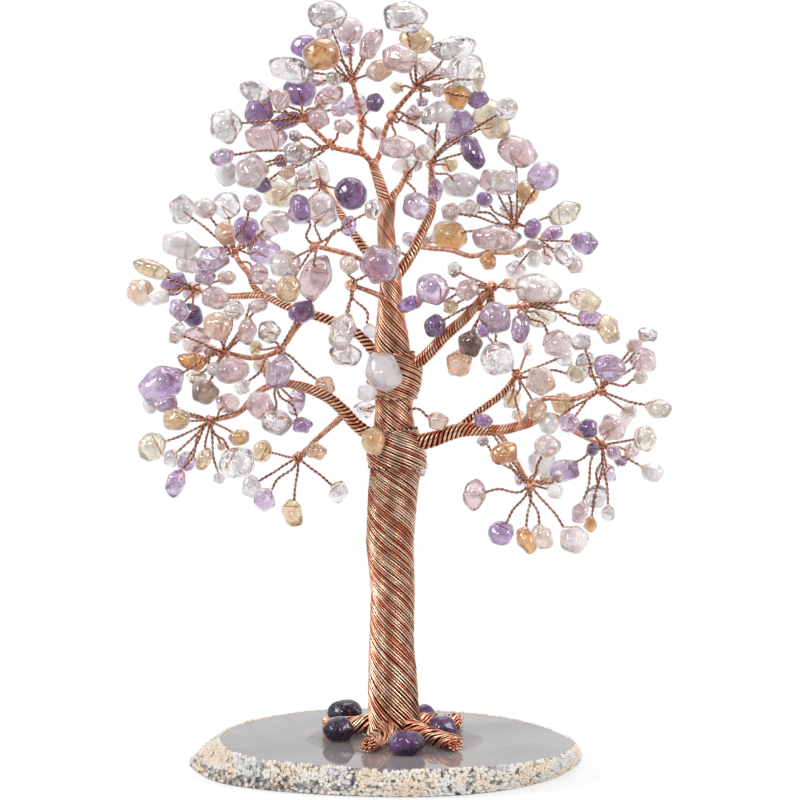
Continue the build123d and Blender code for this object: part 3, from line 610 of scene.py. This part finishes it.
# The hubs where twigs part: column, row, depth share
hub_pixel_shares = (
    (352, 80, 0.04), (417, 86, -0.04), (302, 117, -0.10), (331, 145, -0.16), (362, 122, 0.06),
    (392, 116, 0.06), (407, 174, 0.18), (431, 163, 0.20), (515, 225, 0.26), (535, 240, 0.56),
    (491, 287, -0.26), (524, 306, -0.44), (517, 375, 0.12), (600, 391, -0.34), (602, 445, 0.00),
    (530, 485, -0.34), (321, 184, 0.38), (314, 246, -0.30), (352, 285, -0.34), (234, 252, 0.42),
    (195, 290, 0.22), (224, 352, -0.32), (279, 350, -0.12), (210, 421, -0.26), (276, 384, -0.16),
    (298, 457, 0.14), (392, 400, -0.02), (410, 256, 0.05),
)
lay_angle = math.radians(38)
print("boughs", len(bough_pixel_shares), "hubs", len(hub_pixel_shares))


# %% Lay the strands of each bough
rope_step = 0.35 * mm


def size_along(distance, marks, radii):
    """The radius of a rope at a distance along it, between the radii at its marks."""
    index = max(i for i, mark in enumerate(marks) if mark <= distance + 1e-9)
    index = min(index, len(radii) - 2)
    t = (distance - marks[index]) / (marks[index + 1] - marks[index])
    return radii[index] + (radii[index + 1] - radii[index]) * t


def distances(points):
    """How far along its route each point lies."""
    along = [0.0]
    for before, after in zip(points, points[1:]):
        along.append(along[-1] + (after - before).length)
    return along


def lay_rope(mesh, core, points, radii, strand_size, angle=lay_angle, looseness=0.0):
    """Strands that spiral round a smooth route, over a plain core. In a loose rope they wander."""
    path = smooth_path(points, rope_step)
    frames = frames_along(path)
    along = distances(path)
    marks = distances(points)
    sizes = [size_along(distance / along[-1] * marks[-1], marks, radii) for distance in along]
    middle_size = sum(sizes) / len(sizes)
    girth = 2 * math.pi * (middle_size - strand_size)
    count = max(3, round(girth * math.sin(angle) / (2 * strand_size)))
    own = path[0].x * 90
    for strand in range(count):
        turn = 2 * math.pi * strand / count
        wire_path = []
        wire_sizes = []
        for index, point in enumerate(path):
            across, over = frames[index]
            thick = strand_size * (0.55 + 0.45 * sizes[index] / middle_size)
            stray = looseness * noise.noise(Vector((strand * 5.3, along[index] * 420, own)))
            reach = (sizes[index] - thick) * (1 + stray)
            wire_path.append(point + reach * around(across, over, turn))
            wire_sizes.append(thick)
            if index + 1 < len(path):
                advance = along[index + 1] - along[index]
                turn -= advance / (math.tan(angle) * max(reach, strand_size))
        add_tube(mesh, wire_path, wire_sizes, 6, path, strand_tone(strand * 3.1, own, 0))
    core_sizes = [max(size - 1.5 * strand_size, 0.3 * strand_size) for size in sizes]
    add_tube(core, path, core_sizes, 8)


bough_strand_radius = 0.33 * mm
rope_core = bmesh.new()
for name, routes in bough_pixel_shares.items():
    mesh = bmesh.new()
    for route in routes:
        points = [place(column, row, share * crown_half_depth) for column, row, share, _ in route]
        radii = [size_at(step[3] / 2, point.y) for step, point in zip(route, points)]
        lay_rope(mesh, rope_core, points, radii, bough_strand_radius)
    finish_piece(mesh, name + "_rope", bough_copper, (name,))
# The cores under the ropes are finished in painted shade.
finish_piece(rope_core, "bough_cores", painted_shade_copper)

# %% [markdown]
# ## The chips
# A tumbled chip has soft corners, slightly domed faces and a wavy skin. Subdividing a faceted
# stone would shrink it, so each chip is blown up from a ball instead: in every direction the skin
# lies just inside the facets of the model's stone, and the closer two facets are, the rounder it
# turns between them.

# %% Split a node into its separate stones
chance = random.Random(7)
weld_distance = 0.002 * mm
flat_angle = 0.01


def any_direction():
    """A direction drawn by chance."""
    return Vector([chance.uniform(-1, 1) for _ in range(3)]).normalized()


def any_shift(reach):
    """A place in the noise that nothing else uses, drawn by chance."""
    return Vector([chance.random() for _ in range(3)]) * reach


def joined_points(start, seen):
    """All points that edges join to a first one."""
    seen.add(start.index)
    waiting = [start]
    members = []
    while waiting:
        vert = waiting.pop()
        members.append(vert)
        for edge in vert.link_edges:
            other = edge.other_vert(vert)
            if other.index not in seen:
                seen.add(other.index)
                waiting.append(other)
    return members


def islands(node):
    """The separate solids of a node: for each, its corners, its facets and its centre."""
    mesh = bmesh.new()
    mesh.from_mesh(nodes[node].data)
    bmesh.ops.remove_doubles(mesh, verts=mesh.verts, dist=weld_distance)
    bmesh.ops.dissolve_limit(mesh, angle_limit=flat_angle, verts=mesh.verts, edges=mesh.edges)
    mesh.verts.index_update()
    seen = set()
    stones = []
    for start in mesh.verts:
        if start.index in seen:
            continue
        members = joined_points(start, seen)
        centre = sum((vert.co for vert in members), Vector()) / len(members)
        facets = []
        for face in {face for vert in members for face in vert.link_faces}:
            normal = face.normal.copy()
            distance = normal.dot(face.calc_center_median() - centre)
            facets.append((normal, distance) if distance > 0 else (-normal, -distance))
        stones.append(([vert.co.copy() for vert in members], facets, centre))
    mesh.free()
    return stones


# %% Round one stone
def ball_of(subdivisions):
    """The directions of a ball's points, and which of them each of its faces joins."""
    ball = bmesh.new()
    bmesh.ops.create_icosphere(ball, subdivisions=subdivisions, radius=1)
    directions = [vert.co.normalized() for vert in ball.verts]
    faces = [[vert.index for vert in face.verts] for face in ball.faces]
    ball.free()
    return directions, faces


ball_directions, ball_faces = ball_of(4)
dent_depth = 0.09
ripple_depth = 0.03


def tumble(mesh, stone, tone, evenness, fullness, finish=0):
    """Add a rounded copy of one faceted stone to a mesh, in one of the mesh's finishes."""
    points, facets, centre = stone
    tone_layer = point_layer(mesh, "tone")
    drift = any_shift(40)
    skin = []
    for direction in ball_directions:
        total = 0
        for normal, distance in facets:
            towards = normal.dot(direction)
            if towards > 0:
                total += (towards / distance) ** evenness
        dent = dent_depth * noise.noise(direction * 1.4 + drift)
        dent += ripple_depth * noise.noise(direction * 3.7 + drift)
        skin.append(direction * total ** (-1 / evenness) * (1 + dent))
    middle = Vector()
    growth = []
    for axis in range(3):
        wanted = [point[axis] for point in points]
        found = [point[axis] for point in skin]
        middle[axis] = (max(wanted) + min(wanted)) / 2
        growth.append(fullness * (max(wanted) - min(wanted)) / (max(found) - min(found)))
    made = []
    for point in skin:
        vert = mesh.verts.new(middle + Vector([point[axis] * growth[axis] for axis in range(3)]))
        vert[tone_layer] = tone
        made.append(vert)
    for face in ball_faces:
        mesh.faces.new([made[index] for index in face]).material_index = finish


print("points on each stone", len(ball_directions))

# %% [markdown]
# ## Stone finishes
# Eight sorts of chip, all quartz: what differs is the tint, how milky it is and how strongly it is
# zoned. A base colour that goes from nearly clear to the full tint, with pale wisps, gives one
# finish to a whole sort, and a tone kept on each stone makes neighbours differ.

# %% Stone materials: clear, deep and wisp colours, glassiness, cloud share and wisp share
stone_looks = {
    "amethyst": ((0.48, 0.25, 0.58), (0.08, 0.016, 0.125), (0.86, 0.74, 0.92), 0.70, 0.52, 0.40),
    "lavender": ((0.90, 0.76, 0.94), (0.38, 0.18, 0.52), (1.0, 0.96, 1.0), 0.88, 0.48, 0.40),
    "rose_quartz": ((1.0, 0.93, 0.92), (0.86, 0.61, 0.64), (1.0, 0.98, 0.97), 0.80, 0.46, 0.25),
    "peach_quartz": ((1.0, 0.90, 0.82), (0.90, 0.56, 0.38), (1.0, 0.98, 0.94), 0.72, 0.47, 0.25),
    "citrine": ((0.99, 0.82, 0.52), (0.84, 0.38, 0.09), (1.0, 0.93, 0.80), 0.80, 0.52, 0.40),
    "pale_citrine": ((0.99, 0.94, 0.82), (0.92, 0.70, 0.40), (1.0, 0.98, 0.90), 0.86, 0.44, 0.40),
    "clear_quartz": ((1.0, 0.99, 0.99), (0.90, 0.84, 0.87), (1.0, 1.0, 1.0), 0.95, 0.42, 0.5),
    "smoky_quartz": ((0.52, 0.36, 0.28), (0.13, 0.06, 0.04), (0.7, 0.5, 0.4), 0.5, 0.50, 0.3),
}
milky_glassiness = 0.45
milky_wisps = 0.3
chip_materials = {}
milky_materials = {}
for name, (clear, deep, wisps, glassiness, clouds, wisp_share) in stone_looks.items():
    chip_materials[name] = tumbled_stone(name, clear, deep, wisps, glassiness, clouds, wisp_share)
    milky_materials[name] = tumbled_stone(
        "milky_" + name, clear, deep, wisps, milky_glassiness, clouds, milky_wisps)
print("stone finishes", len(chip_materials) + len(milky_materials))

# %% Tumble every chip
trunk_reach = 8 * mm
trunk_chips_top = 105 * mm
milky_share = 0.15
chip_evenness = (4, 7.5)         # the range: the higher, the more the facets show


def over_trunk(centre):
    """Whether a chip hangs in front of the trunk, where the real stones are milky."""
    return abs(centre.x) < trunk_reach and centre.y < 0 and centre.z < trunk_chips_top


sorts_by_length = sorted(chip_materials, key=len, reverse=True)
chips = []
for name in sorted(nodes):
    if not name.startswith("chips_"):
        continue
    sort = next(sort for sort in sorts_by_length if name.startswith("chips_" + sort))
    may_be_milky = sort == "clear_quartz"
    mesh = bmesh.new()
    for stone in islands(name):
        milky = over_trunk(stone[2]) or (may_be_milky and chance.random() < milky_share)
        tumble(mesh, stone, chance.random(), chance.uniform(*chip_evenness), 1.0, int(milky))
        chips.append(stone)
    piece = finish_piece(mesh, name + "_tumbled", chip_materials[sort], (name,))
    piece.data.materials.append(milky_materials[sort])
print("chips", len(chips))

# %% [markdown]
# ## Cracks inside the stones
# Drilling and tumbling leave healed cracks in quartz. Each is a thin lens of air that mirrors the
# light, so a clear stone is full of bright and dark patches. Noise inside a solid glass would
# need a slow volume, so a few thin mirror lenses in each chip do it.

# %% Inner cracks
inner_crack, tree, shader = new_material("inner_crack")
set_inputs(tree, shader, {
    "Base Color": (1, 0.99, 0.99, 1), "Metallic": 1.0, "Roughness": 0.12, "Alpha": 0.3})
cracks_per_chip = 2
crack_sides = 10
crack_off_centre = 0.45
crack_reach = (0.35, 0.7)        # the range, as a share of the way to the skin
crack_waviness = 0.12            # in mm, to both sides
crack_half_thickness = 0.1 * mm


def skin_distance(facets, offset, direction):
    """How far the flat-faced stone reaches from a point inside it in a direction."""
    return min((distance - normal.dot(offset)) / normal.dot(direction)
               for normal, distance in facets if normal.dot(direction) > 0.001)


def add_crack(mesh, facets, centre):
    """A thin lens with a ragged edge, well inside the stone."""
    shift = any_direction()
    room = skin_distance(facets, Vector(), shift)
    offset = shift * crack_off_centre * chance.random() * room
    normal = any_direction()
    across = normal.orthogonal().normalized()
    over = normal.cross(across)
    edge = []
    for side in range(crack_sides):
        arm = around(across, over, 2 * math.pi * side / crack_sides)
        reach = chance.uniform(*crack_reach) * skin_distance(facets, offset, arm)
        wave = normal * chance.uniform(-crack_waviness, crack_waviness) * mm
        edge.append(mesh.verts.new(centre + offset + arm * reach + wave))
    top = mesh.verts.new(centre + offset + normal * crack_half_thickness)
    bottom = mesh.verts.new(centre + offset - normal * crack_half_thickness)
    for side in range(crack_sides):
        after = (side + 1) % crack_sides
        mesh.faces.new((top, edge[side], edge[after]))
        mesh.faces.new((bottom, edge[after], edge[side]))


mesh = bmesh.new()
for _, facets, centre in chips:
    for _ in range(cracks_per_chip):
        add_crack(mesh, facets, centre)
finish_piece(mesh, "inner_cracks", inner_crack)

# %% [markdown]
# ## The twigs
# Below each chip its two wires are twisted into a pair. The model has a plain bar for each pair,
# but doesn't say which hub it comes from. The nearest hub would often be the wrong one, so the hub
# of a chip is found by asking which short straight line to a hub lies on such a bar.

# %% Find the hub of each chip
twig_nodes = sorted(name for name in nodes if name.startswith("twigs_"))
twig_mesh = bmesh.new()
for name in twig_nodes:
    twig_mesh.from_mesh(nodes[name].data)
twig_tree = BVHTree.FromBMesh(twig_mesh)
twig_mesh.free()
hubs = [place(column, row, share * crown_half_depth) for column, row, share in hub_pixel_shares]
twig_probe = 0.5 * mm
probes = 9
probe_start = 0.12               # past the knot of the hub
probe_span = 0.5
length_cost = 0.6                # what a line as long as the crown's half depth loses


def covered(hub, centre):
    """How much of the line from a hub to a chip lies on a bar of the model, less its length."""
    hits = 0
    for step in range(probes):
        point = hub.lerp(centre, probe_start + probe_span * step / (probes - 1))
        found = twig_tree.find_nearest(point)
        if found[0] is not None and found[3] < twig_probe:
            hits += 1
    return hits / probes - length_cost * (centre - hub).length / crown_half_depth


chip_hubs = []
for _, _, centre in chips:
    chip_hubs.append(max(hubs, key=lambda hub: covered(hub, centre)))
longest = max((chip[2] - hub).length for chip, hub in zip(chips, chip_hubs))
print("hubs found, longest twig", round(longest / mm, 1), "mm")

# %% A twisted pair and a loop
wire_radius = 0.165 * mm
pair_gap = 0.185 * mm
twist_length = 2.3 * mm
twig_step = 0.16 * mm
twig_bow = 0.13
most_bow = 1.6 * mm
twig_bends = ((0.3, 1), (0.7, -0.6))    # share of the twig's length, and the bend's share
loop_clearance = 0.14 * mm
hole_share = 0.45                # of the way from the chip's centre to its lower end
shoulder_share = 0.8
foot_gap = 0.5 * mm
loop_step = 0.4 * mm


def twist_pair(mesh, start, end, seed):
    """Two wires twisted round each other along a line with two slight bends."""
    line = end - start
    side = line.orthogonal().normalized()
    side.rotate(Matrix.Rotation(seed * 1.9, 3, line))
    points = [start]
    for share, bend in twig_bends:
        own = noise.noise(Vector((seed * 2.3, share, 0.4)))
        bow = min(twig_bow * line.length, most_bow) * own
        points.append(start.lerp(end, share) + side * bow * bend * 2)
    path = smooth_path(points + [end], twig_step)
    frames = frames_along(path)
    for wire in range(2):
        turn = math.pi * wire + seed
        strand = []
        for index, point in enumerate(path):
            across, over = frames[index]
            strand.append(point + pair_gap * around(across, over, turn))
            if index + 1 < len(path):
                turn -= 2 * math.pi * (path[index + 1] - point).length / twist_length
        add_tube(mesh, strand, wire_radius, 4, path)


def thread_chip(mesh, facets, centre, away, seed):
    """The wire loop that holds a chip: up one side, through the stone and down the other."""
    across = away.orthogonal().normalized()
    across.rotate(Matrix.Rotation(seed * 2.4, 3, away))
    depth = skin_distance(facets, Vector(), -away)
    hole = centre - away * hole_share * depth
    low = centre - away * shoulder_share * depth
    foot = centre - away * (depth + foot_gap)
    route = [foot]
    for side in (-across, across):
        hole_reach = 0.94 * skin_distance(facets, hole - centre, side) + loop_clearance
        foot_reach = 0.90 * skin_distance(facets, low - centre, side) + loop_clearance
        branch = [low + side * foot_reach, hole + side * hole_reach,
                  hole + side * hole_reach * 0.5]
        route += branch if side == -across else list(reversed(branch))
    route.append(foot)
    add_tube(mesh, smooth_path(route, loop_step), wire_radius * 0.9, 4)
    return foot


print("a pair turns once in", round(twist_length / mm, 1), "mm")

# %% [markdown]
# ## Knots at the hubs
# Where a spray parts, its wires cross and wind about each other in a small tangle. One real wire
# could be led through it all, but nobody could follow it. A few loops of wire round each hub, each
# at its own slant, look the same.

# %% Knots of wire at the hubs
knot_reach = 1.05 * mm
knot_loops = 5
knot_spread = (0.75, 1.15)       # the range of a loop's share of the reach
knot_shift = 0.4                 # in mm, along each axis
loop_steps = 12
loop_overlap = 3                 # steps past a full turn
loop_climb = 0.03 * mm
mesh = bmesh.new()
for hub in hubs:
    for _ in range(knot_loops):
        axis = any_direction()
        across = axis.orthogonal().normalized()
        over = axis.cross(across)
        reach = knot_reach * chance.uniform(*knot_spread)
        middle = hub + Vector([chance.uniform(-knot_shift, knot_shift) for _ in range(3)]) * mm
        loop = []
        for step in range(loop_steps + loop_overlap):
            arm = around(across, over, 2 * math.pi * step / loop_steps)
            loop.append(middle + reach * arm + axis * loop_climb * step)
        add_tube(mesh, loop, wire_radius, 4)
finish_piece(mesh, "hub_knots", twisted_copper)

# %% Twist a pair and thread a loop for every chip
crown_zones = {"left": (-1000 * mm, -12 * mm), "middle": (-12 * mm, 20 * mm),
               "right": (20 * mm, 1000 * mm)}
for zone, (from_x, to_x) in crown_zones.items():
    mesh = bmesh.new()
    for index, ((_, facets, centre), hub) in enumerate(zip(chips, chip_hubs)):
        if from_x <= centre.x < to_x:
            away = (centre - hub).normalized()
            foot = thread_chip(mesh, facets, centre, away, index)
            twist_pair(mesh, hub, foot, index)
    replaced = tuple(twig_nodes) if zone == "left" else ()
    finish_piece(mesh, "twisted_twigs_" + zone, twisted_copper, replaced)

# %% [markdown]
# ## The foot
# The trunk's wires splay into four short roots with sawn ends. They could be tapered solids like
# the model's, but their cut ends face the eye, so each is a loose rope with a bunch of stubs.

# %% Roots
root_radius = 2.0 * mm
root_strand_radius = 0.27 * mm
root_lay = math.radians(52)
root_looseness = 0.32
root_start = 3.5 * mm            # from the trunk's axis
root_rises = (1.2 * mm, 0.3 * mm)    # at its start and in its middle
stub_radius = 0.25 * mm
stub_rings = ((0, 1), (0.55, 5), (1.05, 10), (1.5, 13))    # radius in mm, count
for name in ("root_left", "root_front", "root_right", "root_back"):
    low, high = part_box(name)
    middle = (low + high) / 2
    axis_point = Vector((0, 0, (low.z + high.z) / 2))
    far = Vector((low.x if middle.x < 0 else high.x, low.y if middle.y < 0 else high.y, 0))
    away = far.normalized()
    start = axis_point + away * root_start
    end = axis_point + away * (far.length - 0.7 * root_radius)
    points = [start + up * root_rises[0], start.lerp(end, 0.5) + up * root_rises[1], end]
    radii = [root_radius * 1.05, root_radius, root_radius * 0.9]
    mesh = bmesh.new()
    core = bmesh.new()
    lay_rope(mesh, core, points, radii, root_strand_radius, root_lay, root_looseness)
    side = away.cross(up)
    for ring, count in stub_rings:
        for wire in range(count):
            shift = ring * mm * around(side, up, 2 * math.pi * wire / count + ring)
            stub = end + shift * chance.uniform(0.95, 1.15) + away * chance.uniform(0.1, 0.8) * mm
            add_tube(mesh, [end - away * mm + shift, stub], stub_radius, 8, None, chance.random())
    finish_piece(mesh, name + "_rope", bough_copper, (name,))
    # The root's core is finished in painted shade.
    finish_piece(core, name + "_core", painted_shade_copper)

# %% [markdown]
# ## Root stones
# Five dark amethysts sit between the roots. They are tumbled in the same way as the chips, but
# look almost black, because so much stone swallows the light. They have a finish of their own with
# little coat, since a full one would mirror the pale room and lift the black.

# %% Root stones
root_amethyst = tumbled_stone(
    "root_amethyst", (0.17, 0.07, 0.21), (0.010, 0.004, 0.012), (0.26, 0.15, 0.32),
    0.2, 0.52, 0.25, coat=0.4)
root_shader = root_amethyst.node_tree.nodes["Principled BSDF"]
root_shader.inputs["Specular IOR Level"].default_value = 0.22
root_tones = {"root_stone_front": 0.35, "root_stone_right": 0.4, "root_stone_back_right": 0.3}
other_tone = 0.9
root_evenness = 6
root_fullness = 1.14
for name in sorted(nodes):
    if name.startswith("root_stone"):
        mesh = bmesh.new()
        for stone in islands(name):
            tone = root_tones.get(name, other_tone)
            tumble(mesh, stone, tone, root_evenness, root_fullness)
        finish_piece(mesh, name + "_tumbled", root_amethyst, (name,))

# %% [markdown]
# ## The agate slice
# The slice is sawn from a nodule: its face is ground and polished like a mirror, and its rim keeps
# the nodule's skin of small crystals. The face needs only a finish. The rim is built from grains,
# because at this size no bump would show their outline against the white.

# %% The polished face
agate, tree, shader = new_material("polished_agate")
cloud = noise_node(tree, 42, 4, 0.8)
face_tint = ramp_node(tree, cloud.outputs["Fac"], (
    (0.3, (0.20, 0.188, 0.190)), (0.7, (0.30, 0.283, 0.284))))
grit = noise_node(tree, 900, 4)
skin_tint = ramp_node(tree, grit.outputs["Fac"], ((0.38, 0.06), (0.62, (0.42, 0.39, 0.36))))
split = add_node(tree, "ShaderNodeSeparateXYZ")
facing = add_node(tree, "ShaderNodeNewGeometry")
tree.links.new(facing.outputs["Normal"], split.inputs["Vector"])
top_mask = ramp_node(tree, split.outputs["Z"], ((0.90, 0), (0.96, 1)))
set_inputs(tree, shader, {
    "Base Color": mix_node(tree, top_mask, skin_tint, face_tint),
    "Roughness": ramp_node(tree, split.outputs["Z"], ((0.90, 0.5), (0.96, 0.035))),
    "Specular Tint": (0.60, 0.585, 0.60, 1),
})
dress_node("agate_slice", agate)

# %% The finish of the rim's crystals
rim_crystal, tree, shader = new_material("rim_crystals")
patch = noise_node(tree, 110, 8)
stain = math_node(tree, "MULTIPLY_ADD", point_value(tree, "tone"), 0.14, patch.outputs["Fac"])
set_inputs(tree, shader, {
    "Base Color": ramp_node(tree, stain, (
        (0.34, (0.24, 0.24, 0.25)), (0.46, (0.60, 0.61, 0.61)), (0.56, (0.71, 0.68, 0.62)),
        (0.66, (0.68, 0.53, 0.39)), (0.74, (0.70, 0.63, 0.54)))),
    "Roughness": 0.38, "Coat Weight": 0.2,
})
grit = noise_node(tree, 2400, 3)
add_bump(tree, shader, grit.outputs["Fac"], strength=0.4, distance=0.15 * mm)
print("finish", rim_crystal.name)

# %% Grow the grains on the rim
grain_directions, grain_faces = ball_of(1)
grain_count = 10500
grain_range = (0.26, 0.60)       # radius in mm
steepest_face = 0.9
bare_above = 0.30
bare_left = -8 * mm              # left of this the lower rim is worn, and most grains are gone
worn_height = 0.45 * frame_top
worn_share = 0.8

rim_faces = []
rim_areas = []
slice_mesh = nodes["agate_slice"].data
slice_mesh.calc_loop_triangles()
for triangle in slice_mesh.loop_triangles:
    if abs(triangle.normal.z) < steepest_face:
        rim_faces.append([slice_mesh.vertices[index].co.copy() for index in triangle.vertices])
        rim_areas.append(triangle.area)
mesh = bmesh.new()
tone_layer = point_layer(mesh, "tone")
for corners in chance.choices(rim_faces, weights=rim_areas, k=grain_count):
    a, b = sorted((chance.random(), chance.random()))
    centre = corners[0] * a + corners[1] * (b - a) + corners[2] * (1 - b)
    bare = noise.noise(centre * 620) > bare_above
    worn = centre.x < bare_left and centre.z < worn_height
    if bare or (worn and chance.random() < worn_share):
        continue
    grain_size = chance.uniform(*grain_range) * mm
    grain_tone = chance.random()
    drift = any_shift(50)
    centre.z = min(max(centre.z, 1.2 * grain_size), frame_top - 0.4 * grain_size)
    made = []
    for direction in grain_directions:
        reach = grain_size * (1 + 0.5 * noise.noise(direction * 1.8 + drift))
        vert = mesh.verts.new(centre + direction * reach)
        vert[tone_layer] = grain_tone
        made.append(vert)
    for face in grain_faces:
        mesh.faces.new([made[index] for index in face])
finish_piece(mesh, "rim_crystals", rim_crystal, (), False)

# %% [markdown]
# ## The glue
# Clear glue has run out round the foot and set as a thin puddle, and surface tension rounds its
# edge. The model's film has a sharp edge that a bevel would round evenly. A disc of rings, each at
# its own height, is as simple and lets the edge wander.

# %% The finish of the glue
clear_glue, tree, shader = new_material("clear_glue")
smear = noise_node(tree, 240, 3)
set_inputs(tree, shader, {
    "Base Color": (0.34, 0.31, 0.32, 1), "Alpha": 0.1, "IOR": 1.45,
    "Specular Tint": (0.62, 0.60, 0.62, 1),
    "Roughness": ramp_node(tree, smear.outputs["Fac"], ((0.35, 0.01), (0.75, 0.05))),
})
add_bump(tree, shader, smear.outputs["Fac"], strength=0.12, distance=0.1 * mm)
print("finish", clear_glue.name)

# %% The puddle
glue_low, glue_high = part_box("glue_film")
glue_middle = (glue_low + glue_high) / 2
glue_reach = (glue_high - glue_low) / 2
glue_floor = glue_low.z + 0.02 * mm
glue_height = glue_high.z - glue_low.z
glue_sides = 96
glue_wander = 0.07               # how far the edge draws back in places, as a share
# Each ring's share of the reach and of the height
glue_rings = ((0.25, 1.0), (0.5, 1.0), (0.75, 1.0), (0.9, 0.95), (0.96, 0.75), (0.99, 0.4),
              (1.0, 0.0))
mesh = bmesh.new()
crown = mesh.verts.new((glue_middle.x, glue_middle.y, glue_high.z))
rings = []
for reach, rise in glue_rings:
    ring = []
    for side in range(glue_sides):
        turn = 2 * math.pi * side / glue_sides
        x, y = math.cos(turn), math.sin(turn)
        edge = 1 - glue_wander + glue_wander * noise.noise(Vector((x * 1.6, y * 1.6, 4.2)))
        ring.append(mesh.verts.new((glue_middle.x + glue_reach.x * reach * edge * x,
                                    glue_middle.y + glue_reach.y * reach * edge * y,
                                    glue_floor + rise * glue_height)))
    rings.append(ring)
for side in range(glue_sides):
    after = (side + 1) % glue_sides
    mesh.faces.new((crown, rings[0][side], rings[0][after]))
    for low, high in zip(rings, rings[1:]):
        mesh.faces.new((low[side], high[side], high[after], low[after]))
mesh.faces.new(list(reversed(rings[-1])))
finish_piece(mesh, "glue_puddle", clear_glue, ("glue_film",))

# %% [markdown]
# ## The studio
# The real ornament stands on white in soft light. More light would bleach the copper and the
# stones. So the floor and the room are white only to the camera and to rays off metal or through
# glass, and the light that falls on the tree stays plain.

# %% The floor
floor_half_width = 3.0
floor_drop = 0.2 * mm
floor_shadow = 0.3
fade_start, fade_end = 120 * mm, 420 * mm


def mix_shaders(tree, factor, first, second):
    """Two shaders mixed by a factor."""
    node = add_node(tree, "ShaderNodeMixShader")
    for source, socket in zip((factor, first, second), node.inputs):
        tree.links.new(source, socket)
    return node.outputs["Shader"]


def pale_floor(name):
    """A pale floor that the camera, metal and glass see as nearly white. It keeps the shadow and
    fades out far from the tree."""
    material, tree, shader = new_material(name)
    set_inputs(tree, shader, {"Base Color": (0.9, 0.9, 0.9, 1), "Roughness": 0.9})
    glow = add_node(tree, "ShaderNodeEmission")
    glow.inputs["Strength"].default_value = 1.0
    ray = add_node(tree, "ShaderNodeLightPath").outputs
    seen = math_node(tree, "MAXIMUM", ray["Is Camera Ray"], ray["Is Glossy Ray"])
    seen = math_node(tree, "MAXIMUM", seen, ray["Is Transmission Ray"])
    white_share = math_node(tree, "MULTIPLY", seen, 1 - floor_shadow)
    lit = mix_shaders(tree, white_share, shader.outputs["BSDF"], glow.outputs["Emission"])
    distance = add_node(tree, "ShaderNodeVectorMath", operation="LENGTH")
    tree.links.new(object_place(tree), distance.inputs[0])
    fade = add_node(tree, "ShaderNodeMapRange", interpolation_type="SMOOTHSTEP")
    set_inputs(tree, fade, {
        "Value": distance.outputs["Value"], "From Min": fade_start, "From Max": fade_end})
    clear = add_node(tree, "ShaderNodeBsdfTransparent")
    edge = mix_shaders(tree, fade.outputs["Result"], lit, clear.outputs["BSDF"])
    tree.links.new(edge, tree.nodes["Material Output"].inputs["Surface"])
    return material


floor_data = bpy.data.meshes.new("floor")
reach = floor_half_width
corners = [(-reach, -reach, 0), (reach, -reach, 0), (reach, reach, 0), (-reach, reach, 0)]
floor_data.from_pydata(corners, [], [(0, 1, 2, 3)])
floor_data.materials.append(pale_floor("studio_floor"))
floor = bpy.data.objects.new("floor", floor_data)
floor.location.z = -floor_drop
bpy.context.collection.objects.link(floor)
print("floor", 2 * floor_half_width, "m wide")

# %% The room: white to the camera, darker behind the camera in what copper and glass mirror
world = bpy.data.worlds.new("studio")
bpy.context.scene.world = world
world.use_nodes = True
tree = world.node_tree
soft_light = tree.nodes["Background"]
set_inputs(tree, soft_light, {"Color": (0.78, 0.76, 0.76, 1), "Strength": 0.6})
white = add_node(tree, "ShaderNodeBackground")
white.inputs["Color"].default_value = (1, 1, 1, 1)
room_place = add_node(tree, "ShaderNodeTexCoord")
split = add_node(tree, "ShaderNodeSeparateXYZ")
tree.links.new(room_place.outputs["Generated"], split.inputs["Vector"])
room_depth = math_node(tree, "MULTIPLY_ADD", split.outputs["Y"], 0.5, 0.5)
mirrored = ramp_node(tree, room_depth, ((0.0, (0.15, 0.14, 0.14)), (0.38, 1)))
seen_through = ramp_node(tree, room_depth, (
    (0.0, (0.06, 0.055, 0.06)), (0.42, (0.33, 0.32, 0.33)), (0.58, (0.97, 0.97, 0.98)), (0.66, 1)))
ray = add_node(tree, "ShaderNodeLightPath").outputs
room = add_node(tree, "ShaderNodeBackground")
room_colour = mix_node(tree, ray["Is Transmission Ray"], mirrored, seen_through)
tree.links.new(room_colour, room.inputs["Color"])
by_glass_or_metal = math_node(tree, "MAXIMUM", ray["Is Glossy Ray"], ray["Is Transmission Ray"])
unseen = mix_shaders(
    tree, by_glass_or_metal, soft_light.outputs["Background"], room.outputs["Background"])
backdrop = mix_shaders(tree, ray["Is Camera Ray"], unseen, white.outputs["Background"])
tree.links.new(backdrop, tree.nodes["World Output"].inputs["Surface"])
print("room", world.name)


# %% [markdown]
# ## The lamps
# One lamp would leave a hard shadow and black wires. Two large soft ones light the sides, one
# lights the top, and a small one gives the stones their sharp glint.

# %% Lamps
def softbox(name, location, width, power):
    """A large soft lamp that faces the crown."""
    data = bpy.data.lights.new(name, "AREA")
    data.size = width
    data.energy = power
    lamp = bpy.data.objects.new(name, data)
    lamp.location = location
    lamp.rotation_euler = (aim - Vector(location)).to_track_quat("-Z", "Y").to_euler()
    lamp.visible_transmission = False
    bpy.context.collection.objects.link(lamp)
    print("lamp", name, power, "W")


softbox("key", (-1.0, -0.4, 0.7), 0.4, 7.8)
softbox("fill", (0.95, -0.4, 0.5), 0.5, 6.4)
softbox("top", (0.1, 0.3, 1.2), 0.7, 6)
softbox("glint", (-0.25, -1.0, 0.6), 0.2, 3.2)
